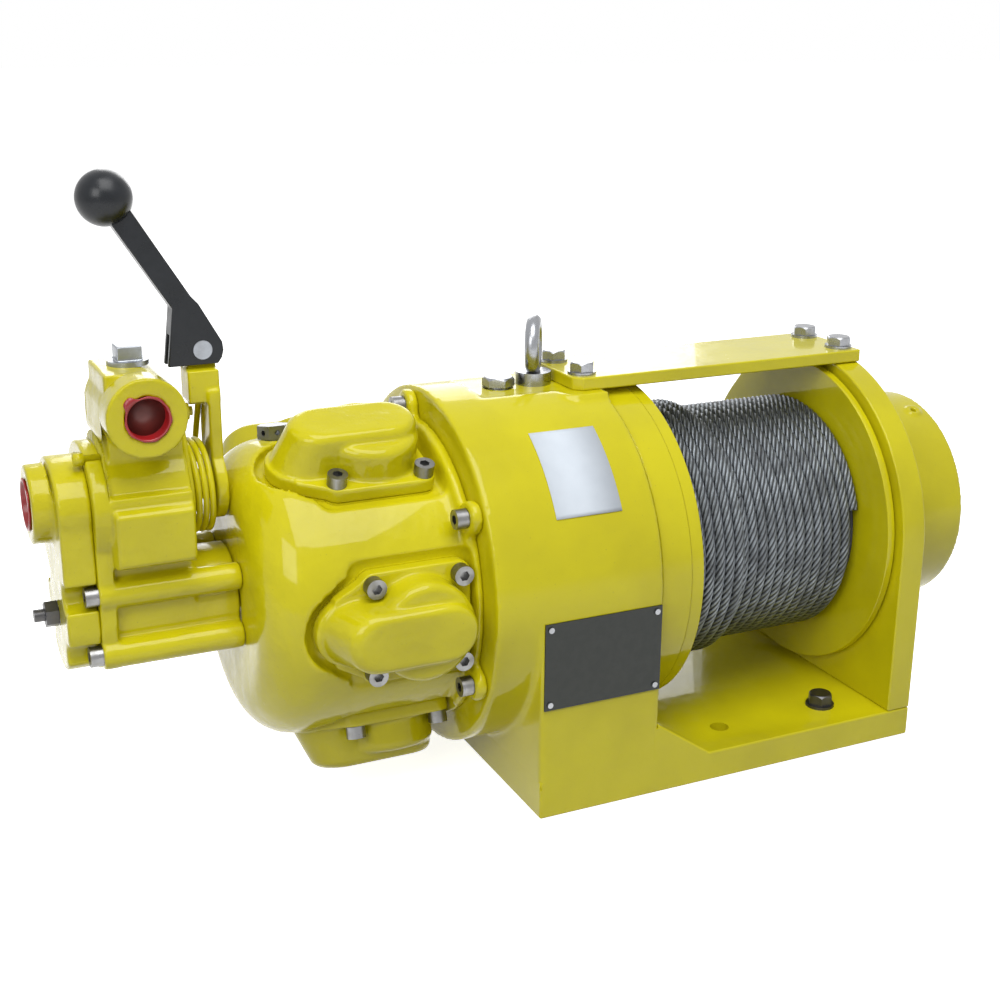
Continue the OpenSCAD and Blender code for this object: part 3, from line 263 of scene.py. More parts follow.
@dataclass(frozen=True)
class Metal:
    """Bare or plated metal with stains, a machined grain and a varying gloss."""

    name: str
    colour: Colour
    stain: Colour
    stain_share: float = 0.5
    shine: Pair = (0.25, 0.45)
    grain_size: float = 0.8 * MM
    grain_height: float = 0.02 * MM
    stretch: Point = (1.0, 1.0, 1.0)

    def make(self) -> Material:
        """Builds the material.

        Returns:
            The material.
        """
        s = NodeSheet(self.name)
        place = s.place()
        cloud = s.noise(place, 1 / (7 * MM), 4.0, 0.6)
        grain = s.noise(s.place(self.stretch), 1 / self.grain_size, 2.0)
        colour = s.blend(s.span(cloud, 0.40, 0.70, 0.0, self.stain_share), self.colour, self.stain)
        rough = s.span(cloud, 0.30, 0.75, *self.shine)
        normal = s.bump(grain, self.grain_height)
        s.set(Base_Color=colour, Roughness=rough, Metallic=1.0, Normal=normal)
        return s.material


@dataclass(frozen=True)
class Moulded:
    """Plastic, rubber, paper or film: one colour with faint clouds and a fine skin."""

    name: str
    colour: Colour
    cloud: Colour
    shine: Pair = (0.25, 0.4)
    skin_size: float = 1.0 * MM
    skin_height: float = 0.02 * MM
    coat: float = 0.0
    gloss: float = 0.5

    def make(self) -> Material:
        """Builds the material.

        Returns:
            The material.
        """
        s = NodeSheet(self.name)
        place = s.place()
        cloud = s.noise(place, 1 / (12 * MM), 3.0)
        skin = s.noise(place, 1 / self.skin_size, 2.0)
        colour = s.blend(s.span(cloud, 0.40, 0.70, 0.0, 1.0), self.colour, self.cloud)
        rough = s.span(cloud, 0.3, 0.7, *self.shine)
        s.set(Base_Color=colour, Roughness=rough, Normal=s.bump(skin, self.skin_height))
        s.set(Specular_IOR_Level=self.gloss, Coat_Weight=self.coat, Coat_Roughness=0.08)
        return s.material


@dataclass(frozen=True)
class StrandedWire:
    """Greased steel rope: fine wires along it, bright on the strands' crowns, dark in the valleys.

    The UV map runs along the rope in u, in metres, and once round it in v; the
    attribute crown is 1 on a strand's crown and 0 in the valley beside it.
    """

    name: str = "greased_wire"
    wires_round: int = 36
    bright: Colour = (0.31, 0.34, 0.37)
    grease: Colour = (0.030, 0.032, 0.034)
    wire_height: float = 0.12 * MM

    def make(self) -> Material:
        """Builds the material.

        Returns:
            The material.
        """
        s = NodeSheet(self.name)
        uv = s.add("TexCoord", {}).outputs["UV"]
        parts = s.add("SeparateXYZ", {0: uv})
        angle = s.sum("MULTIPLY", parts.outputs[1], 2 * math.pi * self.wires_round)
        wire = s.span(s.sum("SINE", angle, 0.0), -1.0, 1.0, 0.0, 1.0)
        crown = s.add("Attribute", {}, attribute_name=CROWN).outputs["Fac"]
        dirt = s.noise(s.place(), 1 / (14 * MM), 4.0, 0.65)
        bare = s.span(crown, 0.10, 0.75, 0.0, 1.0)
        clean = s.sum("MULTIPLY", bare, s.span(dirt, 0.35, 0.62, 0.45, 1.0))
        clean = s.sum("MULTIPLY", clean, s.span(wire, 0.0, 0.6, 0.45, 1.0))
        colour = s.blend(clean, self.grease, self.bright)
        metal, rough = s.span(clean, 0.0, 0.6, 0.35, 1.0), s.span(clean, 0.0, 1.0, 0.55, 0.30)
        s.set(Base_Color=colour, Metallic=metal, Roughness=rough, Normal=s.bump(wire, self.wire_height))
        return s.material


class Palette:
    """Makes each finish once and hands it out."""

    CAST = Enamel("cast_enamel", shades_hollows=True)
    PLATE = Enamel("plate_enamel", lump_size=45 * MM, lump_height=0.8 * MM,
                   peel_height=0.15 * MM, shine=0.12)
    ZINC = Metal("zinc_plate", (0.34, 0.35, 0.37), (0.20, 0.20, 0.20), shine=(0.20, 0.38))
    STEEL = Metal("bare_steel", (0.32, 0.34, 0.37), (0.19, 0.19, 0.19), shine=(0.24, 0.45))
    DARK = Metal("black_oxide_steel", (0.085, 0.085, 0.09), (0.15, 0.14, 0.13), shine=(0.32, 0.55))
    SCREW = Metal("oiled_screw_steel", (0.25, 0.25, 0.25), (0.12, 0.115, 0.10))
    BEARING = Metal("bearing_steel", (0.72, 0.73, 0.75), (0.6, 0.6, 0.62), shine=(0.08, 0.16),
                    grain_height=0.005 * MM)
    PLAQUE = Metal("name_plate_metal", (0.038, 0.040, 0.038), (0.048, 0.050, 0.048),
                   shine=(0.30, 0.45), stretch=(1.0, 1.0, 14.0))
    FRICTION = Moulded("friction_lining", (0.16, 0.09, 0.05), (0.10, 0.06, 0.04), (0.7, 0.9),
                       skin_height=0.08 * MM)
    FILM = Moulded("label_film", (0.70, 0.76, 0.83), (0.67, 0.73, 0.80), (0.62, 0.72), gloss=0.12)
    RED = Moulded("red_cap", (0.38, 0.010, 0.013), (0.26, 0.009, 0.012), coat=0.2)
    # Painted shade: a darker, browner copy of the cap's red plastic, for the floor inside the cap.
    SHADED_RED = Moulded("red_cap_floor_painted_shade", (0.17, 0.045, 0.035), (0.10, 0.035, 0.030), (0.35, 0.5))
    BLACK = Moulded("black_lever", (0.006, 0.008, 0.011), (0.012, 0.014, 0.018), (0.24, 0.38),
                    skin_height=0.03 * MM, gloss=0.35)
    ROPE = StrandedWire()

    def __init__(self) -> None:
        """Starts with nothing made."""
        self.made: dict[str, Material] = {}

    def of(self, finish: object) -> Material:
        """Gives the material of a finish, made on first use."""
        if finish.name not in self.made:
            self.made[finish.name] = finish.make()
        return self.made[finish.name]


PALETTE = Palette()


def linked(name: str, data: object) -> Object:
    """Puts a new object with its mesh, lamp or camera data in the scene.

    Args:
        name: The object's name.
        data: Its data.

    Returns:
        The object.
    """
    thing = bpy.data.objects.new(name, data)
    bpy.context.scene.collection.objects.link(thing)
    return thing


def new_piece(name: str, mesh: Mesh, finish: object, body: Body = Body.FRAME) -> Object:
    """Makes a mesh a piece of the winch.

    Args:
        name: The piece's name.
        mesh: Its mesh, in place.
        finish: Its finish.
        body: The body it rides on.

    Returns:
        The new object.
    """
    piece = linked(name, mesh)
    mesh.materials.clear()
    mesh.materials.append(PALETTE.of(finish))
    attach(piece, body.value)
    return piece


def ring_faces(rows: int, cols: int, closed: bool = False) -> list[list[int]]:
    """Quads between rings of points counted ring by ring.

    Args:
        rows: Number of rings.
        cols: Number of points in a ring.
        closed: Whether the last ring joins the first.

    Returns:
        Four point numbers a face.
    """
    i = np.arange(rows if closed else rows - 1)[:, None]
    j = np.arange(cols)[None, :]
    here, beyond, beside = i * cols, (i + 1) % rows * cols, (j + 1) % cols
    return np.stack([here + j, here + beside, beyond + beside, beyond + j], axis=-1).reshape(-1, 4).tolist()


def smooth_mesh(name: str, points: np.ndarray, faces: list[list[int]]) -> Mesh:
    """A closed mesh with its doubled points merged, shaded smooth and facing outwards.

    Args:
        name: The mesh's name.
        points: Its points, one a row.
        faces: Point numbers of each face.

    Returns:
        The mesh.
    """
    mesh = bpy.data.meshes.new(name)
    mesh.from_pydata(points.tolist(), [], faces)
    mesh.polygons.foreach_set("use_smooth", np.ones(len(mesh.polygons), dtype=bool))
    work = bmesh.new()
    work.from_mesh(mesh)
    bmesh.ops.remove_doubles(work, verts=work.verts, dist=SAME_RING_POINT)
    bmesh.ops.recalc_face_normals(work, faces=work.faces)
    work.to_mesh(mesh)
    work.free()
    return mesh


def grid_mesh(name: str, points: np.ndarray) -> Mesh:
    """A closed tube from rings of points, each end closed by a fan to its own middle.

    Args:
        name: The mesh's name.
        points: Array of shape rings, points in a ring, 3.

    Returns:
        The mesh, with its normals facing out.
    """
    rows, cols = points.shape[:2]
    first, last = rows * cols, rows * cols + 1
    flat = np.vstack([points.reshape(-1, 3), points[0].mean(axis=0), points[-1].mean(axis=0)])
    here = list(range(cols))
    beside = here[1:] + here[:1]
    base = (rows - 1) * cols
    faces = ring_faces(rows, cols)
    faces += [[b, a, first] for a, b in zip(here, beside)]
    faces += [[base + a, base + b, last] for a, b in zip(here, beside)]
    return smooth_mesh(name, flat, faces)


def path_frames(path: np.ndarray, out: np.ndarray) -> tuple[np.ndarray, np.ndarray]:
    """Two directions across a path at each of its points.

    The tangent is the difference of a point's neighbours; the first direction is
    out less its part along the tangent, and the second is square to both.

    Args:
        path: Points, one a row.
        out: A direction near each point's first direction.

    Returns:
        The first and second directions, unit length.
    """
    ahead = np.vstack([path[1:], path[-1:]])
    behind = np.vstack([path[:1], path[:-1]])
    along = ahead - behind
    along /= np.linalg.norm(along, axis=1, keepdims=True)
    first = out - (out * along).sum(axis=1, keepdims=True) * along
    first /= np.linalg.norm(first, axis=1, keepdims=True)
    return first, np.cross(along, first)


def tube_points(path: np.ndarray, out: np.ndarray, radius: float | np.ndarray, sides: int,
                twist: float | np.ndarray = 0.0) -> np.ndarray:
    """Rings of points round a path.

    A ring's point at angle a is path + radius * (cos a * first + sin a * second).

    Args:
        path: Points, one a row.
        out: A direction near the ring's zero angle at each point.
        radius: One radius, or one a point of each ring.
        sides: Points in a ring.
        twist: Angle of a ring's first point, one for all or one a ring.

    Returns:
        Array of shape rings, sides, 3.
    """
    first, second = path_frames(path, out)
    a = np.linspace(0, 2 * np.pi, sides, endpoint=False)[None] + np.reshape(twist, (-1, 1))
    around = np.cos(a)[:, :, None] * first[:, None, :] + np.sin(a)[:, :, None] * second[:, None, :]
    radius = np.broadcast_to(radius, (len(path), sides))
    return path[:, None, :] + radius[:, :, None] * around


def merged_copy(node: str, name: str) -> Mesh:
    """A copy of a CAD node's mesh with its doubled points merged and without its stored normals.

    Args:
        node: The CAD node.
        name: The new mesh's name.

    Returns:
        The copy.
    """
    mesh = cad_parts[node].data.copy()
    mesh.name = name
    for layer in list(mesh.attributes):
        if layer.name == "custom_normal":
            mesh.attributes.remove(layer)
    work = bmesh.new()
    work.from_mesh(mesh)
    bmesh.ops.remove_doubles(work, verts=work.verts, dist=SAME_POINT)
    work.to_mesh(mesh)
    work.free()
    return mesh


def applied(piece: Object) -> Mesh:
    """Works in an object's modifiers and removes the object.

    Args:
        piece: The object.

    Returns:
        The worked mesh.
    """
    bpy.context.view_layer.update()
    seen = piece.evaluated_get(bpy.context.evaluated_depsgraph_get())
    mesh = bpy.data.meshes.new_from_object(seen)
    old = piece.data
    bpy.data.objects.remove(piece)
    bpy.data.meshes.remove(old)
    return mesh


def cast_mesh(node: str, voxel: float, passes: int) -> Mesh:
    """A CAD node with the soft edges and filled corners of a casting.

    The node's solid is sampled on a cube grid and its surface is relaxed, so each
    corner becomes a fillet while flat parts stay where they are.

    Args:
        node: The CAD node.
        voxel: Size of the grid's cubes.
        passes: Relaxing passes.

    Returns:
        The softened mesh.
    """
    work = linked("casting_work", merged_copy(node, "casting_work"))
    grid = work.modifiers.new("grid", "REMESH")
    grid.mode = "VOXEL"
    grid.voxel_size = voxel
    grid.use_smooth_shade = True
    relax = work.modifiers.new("relax", "SMOOTH")
    relax.factor = RELAX_PULL
    relax.iterations = passes
    mesh = applied(work)
    mesh.polygons.foreach_set("use_smooth", np.ones(len(mesh.polygons), dtype=bool))
    return mesh


def machined_mesh(node: str, bevel: float, segments: int = 2, angle: float = 35.0) -> Mesh:
    """A CAD node with broken edges; short edges and those beside a narrow face stay sharp.

    Args:
        node: The CAD node.
        bevel: Width of the broken edge.
        segments: Facets across it.
        angle: Edges sharper than this, in degrees, are broken.

    Returns:
        The mesh, shaded smooth except where an edge stays sharp.
    """
    mesh = merged_copy(node, node + "_machined")
    work = bmesh.new()
    work.from_mesh(mesh)
    bmesh.ops.dissolve_limit(work, angle_limit=FLAT_ANGLE, verts=work.verts, edges=work.edges,
                             delimit=set())
    weight = work.edges.layers.float.new("bevel_weight_edge")
    for face in work.faces:
        face.smooth = True
    for edge in work.edges:
        edge.smooth = len(edge.link_faces) == 2 and edge.calc_face_angle(0.0) < math.radians(angle)
        length = edge.calc_length()
        roomy = all(face.calc_area() > 1.6 * bevel * length for face in edge.link_faces)
        edge[weight] = float(not edge.smooth and length > 1.3 * bevel and roomy)
    work.to_mesh(mesh)
    work.free()
    holder = linked("machining_work", mesh)
    broken = holder.modifiers.new("broken_edges", "BEVEL")
    broken.width = bevel
    broken.segments = segments
    broken.limit_method = "WEIGHT"
    broken.use_clamp_overlap = False
    broken.harden_normals = True
    broken.miter_outer = "MITER_ARC"
    return applied(holder)


def dress(looks: dict[object, tuple[str, ...]]) -> list[Object]:
    """Gives CAD nodes, kept as they are, their finishes.

    Args:
        looks: Names of nodes by finish.

    Returns:
        The nodes' objects.
    """
    pieces = []
    for finish, nodes in looks.items():
        for node in nodes:
            pieces.append(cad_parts[node])
            pieces[-1].data.materials.clear()
            pieces[-1].data.materials.append(PALETTE.of(finish))
    return pieces


def stand_in(node: str, mesh: Mesh, finish: object, body: Body = Body.FRAME) -> Object:
    """Puts a worked mesh in a CAD node's place.

    Args:
        node: The CAD node that it stands for.
        mesh: The worked mesh.
        finish: Its finish.
        body: The body it rides on.

    Returns:
        The new object.
    """
    piece = new_piece(node + ".worked", mesh, finish, body)
    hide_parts(node)
    return piece


def turned(mesh: Mesh, degrees: float, along: float, name: str) -> Mesh:
    """A copy of a mesh turned about the motor's axis and moved along it.

    Args:
        mesh: The mesh to copy.
        degrees: Turn, positive from straight up towards -Y.
        along: Move along X.
        name: The copy's name.

    Returns:
        The turned copy.
    """
    copy = mesh.copy()
    copy.name = name
    axis = Matrix.Translation((0, 0, AXIS_H))
    turn = axis @ Matrix.Rotation(math.radians(degrees), 4, "X") @ axis.inverted()
    copy.transform(Matrix.Translation((along, 0, 0)) @ turn)
    return copy


@dataclass
class FrameAssembly:
    """Base plate, upright, tie bar, gear housing, outboard bearing housing and what is bolted to them."""

    plug_head: float = 9 * MM
    plug_scale: Point = (0.80, 0.80, 0.82)
    rib_up: float = 27.4 * MM
    foot: tuple[float, ...] = (-161 * MM, -71 * MM, 126 * MM, 22 * MM)
    label_turn: float = -1.8
    seam_root: float = 1.2

    def build(self) -> list[Object]:
        """Builds and dresses the frame's pieces.

        Returns:
            The pieces.
        """
        made = []
        plates = {"base_plate": 1.6, "outboard_upright": 1.5, "tie_bar": 1.2, "housing_end_cover": 1.0}
        work = {node: machined_mesh(node, edge * MM, 3) for node, edge in plates.items()}
        for node, voxel in (("outboard_bearing_housing", 1.5), ("gear_housing", 1.9)):
            work[node] = cast_mesh(node, voxel * MM, 4)
        for node, mesh in work.items():
            made.append(stand_in(node, mesh, Palette.PLATE))
        made += dress({
            Palette.ZINC: ("tie_bar_bolts", "name_plate_rivets", "eye_bolt"),
            Palette.DARK: ("hold_down_bolts",),
            Palette.PLAQUE: ("name_plate",),
        })
        made.append(stand_in("filler_plug", self.plug(), Palette.ZINC))
        label = turned(merged_copy("blank_label", "label_work"), self.label_turn, 0.0, "blank_label_raised")
        made.append(stand_in("blank_label", label, Palette.FILM))
        return made + self.seams()

    def seams(self) -> list[Object]:
        """Paints over the joints round the pedestal's foot and up its rib.

        Returns:
            The strips.
        """
        x0, x1, y, z = self.foot
        left, right = x0 + MM, x1 + 4 * MM
        return [
            self.seam("front_seam", (left, -y, z), (right, -y, z), (0, -1, 0)),
            self.seam("back_seam", (left, y, z), (right, y, z), (0, 1, 0)),
            self.seam("rib_seam", (x1, -y, z + 0.5 * MM), (x1, -y, z + self.rib_up), (0, -1, 0), 3.0),
            self.seam("left_seam", (x0, MM - y, z), (x0, y - MM, z), (-1, 0, 0)),
        ]

    def seam(self, name: str, start: Point, end: Point, out: Point, half: float = 5.0) -> Object:
        """Filler and paint over a joint of the pedestal.

        The strip's section is a lens: at v across the joint, from -1 to 1 of its half
        width, its outer side stands 0.10 cos(pi v / 2) - 0.06 mm proud of the painted
        face and its inner side lies at the root, under it. Its rows lie closer at the
        ends.

        Args:
            name: The piece's name.
            start: One end of the joint.
            end: Its other end.
            out: The way the face looks.
            half: Half of its width, in millimetres.

        Returns:
            The piece.
        """
        v = np.linspace(-1, 1, 17)
        proud = 0.10 * np.cos(np.pi * v / 2) - 0.06
        root = [[-self.seam_root, half], [-self.seam_root, -half]]
        section = np.concatenate([np.stack([proud, half * v], 1), root]) * MM
        along = (0.5 - 0.5 * np.cos(np.linspace(0, np.pi, 41)))[:, None, None]
        line = np.array(start) * (1 - along) + np.array(end) * along
        across = np.cross(np.array(end) - np.array(start), out)
        across /= np.linalg.norm(across)
        points = line + section[None, :, :1] * np.array(out) + section[None, :, 1:] * across
        return new_piece(name, grid_mesh(name, points), Palette.PLATE)

    def plug(self) -> Mesh:
        """The oil filler plug with its head drawn in to the photo's size.

        Returns:
            The plug's mesh.
        """
        mesh = machined_mesh("filler_plug", 0.5 * MM)
        xyz = np.empty(len(mesh.vertices) * 3)
        mesh.vertices.foreach_get("co", xyz)
        xyz = xyz.reshape(-1, 3)
        low, high = xyz.min(axis=0), xyz.max(axis=0)
        seat = high[2] - self.plug_head
        middle = np.array([(low[0] + high[0]) / 2, (low[1] + high[1]) / 2, seat])
        head = (xyz[:, 2] > seat - 1e-5)[:, None]
        xyz = np.where(head, middle + (xyz - middle) * self.plug_scale, xyz)
        mesh.vertices.foreach_set("co", xyz.ravel())
        mesh.update()
        return mesh


@dataclass
class RopeWinding:
    """The rope's outer turns, on the same formula as the part's source."""

    diameter: float = 7.6 * MM
    pitch: float = 8.05 * MM
    shown: float = 7.95 * MM
    low_turns: int = 12
    high_turns: int = 6
    low_radius: float = 86 * MM
    climb_share: float = 0.86
    start_turn: float = -60.0
    x_start: float = 120 * MM
    space: float = 156 * MM
    lay: float = 36 * MM
    rings_a_turn: int = 200
    sides: int = 36
    valley_share: float = 0.405
    end_turns: float = 0.04
    core_bore: float = 70.1 * MM
    core_gap: float = 0.4 * MM
    core_crests: float = 2.2 * MM
    core_rise: Pair = (-1.2 * MM, -8.4 * MM)
    core_crown: float = 0.12

    def centre(self, t: np.ndarray) -> np.ndarray:
        """Middle of the rope after t turns.

        The radius is the lower turns' radius plus the climb times a smooth step over
        the half turn after the lower turns; the angle grows by a whole turn a turn,
        and X falls by the pitch a turn.

        Args:
            t: Turns from the outboard flange.

        Returns:
            Points, one a row.
        """
        u = np.clip((t - self.low_turns) * 2, 0, 1)
        r = self.low_radius + self.diameter * self.climb_share * u * u * (3 - 2 * u)
        a = np.radians(360 * t + self.start_turn)
        turns = self.low_turns + self.high_turns
        gap = (self.space - self.pitch * turns - self.diameter) / 2
        x = self.x_start - gap - self.diameter / 2 - self.pitch * t
        return np.stack([x, r * np.sin(a), AXIS_H + r * np.cos(a)], axis=1)

    def turns(self, name: str, start: float, end: float) -> Object:
        """Builds one stretch of the rope as six strands round its middle.

        The radius at angle a is the outline of six touching round strands, no deeper
        than a valley. Each ring is turned by its length along the rope over the lay
        length, in whole turns, so that the strands wind round the rope.

        Args:
            name: The piece's name.
            start: First turn.
            end: Last turn.

        Returns:
            The piece.
        """
        t = np.linspace(start, end, int((end - start) * self.rings_a_turn) + 1)
        path = self.centre(t)
        out = path.copy()
        out[:, 0] = 0
        out[:, 2] -= AXIS_H
        along = np.concatenate([[0], np.cumsum(np.linalg.norm(np.diff(path, axis=0), axis=1))])
        a = np.linspace(0, 2 * np.pi, self.sides, endpoint=False)
        lobe = (a + np.pi / 6) % (np.pi / 3) - np.pi / 6
        strand, orbit = self.shown / 6, self.shown / 3
        bulge = np.sqrt(np.maximum(strand ** 2 - (orbit * np.sin(lobe)) ** 2, 0))
        edge = orbit * np.cos(lobe) + bulge
        valley = self.valley_share * self.shown
        radius = np.broadcast_to(np.maximum(edge, valley), (len(path), self.sides))
        points = tube_points(path, out, radius, self.sides, 2 * np.pi * along / self.lay)
        mesh = grid_mesh(name, points)
        crown = np.clip((radius - valley) / (self.shown / 2 - valley), 0, 1).ravel()
        crown_layer(mesh, np.concatenate([crown, [0.5, 0.5]]))
        self.lay_uv(mesh, along)
        return new_piece(name, mesh, Palette.ROPE, Body.DRUM)

    def lay_uv(self, mesh: Mesh, along: np.ndarray) -> None:
        """Lays the UV map: u is the length along the rope in metres and v goes once round it.

        The rings are turned with the strands, so v grows by the same turn and its
        lines run straight along the rope.

        Args:
            mesh: The rope's mesh.
            along: Length along the rope at each ring.
        """
        corner = np.empty(len(mesh.loops), dtype=np.int64)
        mesh.loops.foreach_get("vertex_index", corner)
        ring, side = np.divmod(np.minimum(corner, len(along) * self.sides - 1), self.sides)
        v = side / self.sides
        first = np.empty(len(mesh.polygons), dtype=np.int64)
        mesh.polygons.foreach_get("loop_start", first)
        total = np.empty(len(mesh.polygons), dtype=np.int64)
        mesh.polygons.foreach_get("loop_total", total)
        face = np.repeat(np.arange(len(first)), total)
        low = np.minimum.reduceat(v, first)
        high = np.maximum.reduceat(v, first)
        seam = (high - low > 0.5)[face]
        v = np.where(seam & (v < 0.5), v + 1, v) + along[ring] / self.lay
        layer = mesh.uv_layers.new(name="rope")
        layer.data.foreach_set("uv", np.stack([along[ring], v], axis=1).astype(np.float32).ravel())

    def build(self) -> list[Object]:
        """Builds both stretches and the dark layers below them.

        Returns:
            The pieces.
        """
        step, last = self.low_turns - 0.001, self.low_turns + self.high_turns + self.end_turns
        lower = self.turns("rope_lower_turns", -self.end_turns, step)
        upper = self.turns("rope_raised_turns", step, last)
        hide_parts("wire_rope")
        return [lower, upper, self.core()]

    def core(self) -> Object:
        """The layers below: a stepped drum of turns carried round the axis.

        The profile's radius is a row of crests, a pitch apart, set below the lower
        turns' radius: less far under the raised turns than under the lower ones.

        Returns:
            The piece.
        """
        x0, x1 = self.x_start - self.space + self.core_gap, self.x_start - self.core_gap
        step = x0 + 2 * MM + self.pitch * self.high_turns
        x = np.linspace(x0, x1, 420)
        wave = np.abs(np.sin(np.pi * (x - x0) / self.pitch)) * self.core_crests
        rise = np.where(x < step, *self.core_rise)
        turns = np.stack([x, self.low_radius + rise + wave], 1)
        bore = [[x1, self.core_bore], [x0, self.core_bore]]
        mesh = lathe("rope_core", np.concatenate([turns, bore]), 96)
        crown_layer(mesh, np.full(len(mesh.vertices), self.core_crown))
        return new_piece("rope_core", mesh, Palette.ROPE, Body.DRUM)


def crown_layer(mesh: Mesh, values: np.ndarray) -> None:
    """Writes how near each point of a rope's mesh is to a strand's crown."""
    layer = mesh.attributes.new(CROWN, "FLOAT", "POINT")
    layer.data.foreach_set("value", values.astype(np.float32))


def lathe(name: str, profile: np.ndarray, sides: int) -> Mesh:
    """A closed ring-shaped mesh: a closed profile carried round the drum axis.

    A profile point (x, r) at angle a goes to (x, r sin a, axis + r cos a).

    Args:
        name: The mesh's name.
        profile: Rows of x and radius, the outline of the ring's section.
        sides: Steps round the axis.

    Returns:
        The mesh.
    """
    a = np.linspace(0, 2 * np.pi, sides, endpoint=False)[:, None]
    x, r = np.broadcast_to(profile[:, 0], (sides, len(profile))), profile[None, :, 1]
    points = np.stack([x, r * np.sin(a), AXIS_H + r * np.cos(a)], axis=2)
    return smooth_mesh(name, points.reshape(-1, 3), ring_faces(sides, len(profile), closed=True))


@dataclass
class Drum:
    """Barrel, flanges, shaft and the wound rope."""

    rope: RopeWinding = field(default_factory=RopeWinding)

    def build(self) -> list[Object]:
        """Builds and dresses the drum's pieces.

        Returns:
            The pieces.
        """
        made = []
        for node in ("drum_left_flange", "drum_right_flange", "drum_barrel"):
            mesh = machined_mesh(node, 0.8 * MM)
            made.append(stand_in(node, mesh, Palette.PLATE, Body.DRUM))
        return made + dress({Palette.STEEL: ("drum_shaft",)}) + self.rope.build()


@dataclass
class GearTrain:
    """Bearings, planetary gears and brake inside the housing."""

    def build(self) -> list[Object]:
        """Dresses the pieces that are held inside.

        Returns:
            The pieces.
        """
        return dress({
            Palette.BEARING: ("bearing_outer_races", "bearing_inner_races", "bearing_balls"),
            Palette.STEEL: ("ring_gear", "planet_gear_1", "planet_gear_2", "planet_gear_3", "planet_carrier",
                            "sun_shaft", "brake_plates", "brake_piston"),
            Palette.DARK: ("brake_disc_springs",),
            Palette.FRICTION: ("brake_friction_discs",),
        })


@dataclass
class AirMotor:
    """Motor case, five cylinder heads and everything bolted to or running inside them.

    Each head is a turned copy of the first, moved along X by its step.
    """

    head_steps: tuple[float, ...] = (0.0, 0.0, 0.0, -16 * MM, -8 * MM)
    case_voxel: float = 1.9 * MM
    head_voxel: float = 1.15 * MM

    def build(self) -> list[Object]:
        """Builds and dresses the motor's pieces.

        Returns:
            The pieces.
        """
        case = cast_mesh("motor_case", self.case_voxel, 6)
        made = [stand_in("motor_case", case, Palette.CAST)]
        head = cast_mesh("cylinder_head_1", self.head_voxel, 9)
        for k, step in enumerate(self.head_steps):
            node = f"cylinder_head_{k + 1}"
            copy = turned(head, 360 * k / len(self.head_steps), step, node)
            made.append(stand_in(node, copy, Palette.CAST))
        return made + dress({
            Palette.SCREW: ("head_screws", "flange_screws"),
            Palette.CAST: ("head_gaskets",),
            Palette.STEEL: ("breather_plug", "cylinder_liners", "pistons", "connecting_rods", "crankshaft"),
            Palette.BEARING: ("crank_ring", "crank_bearings"),
        })


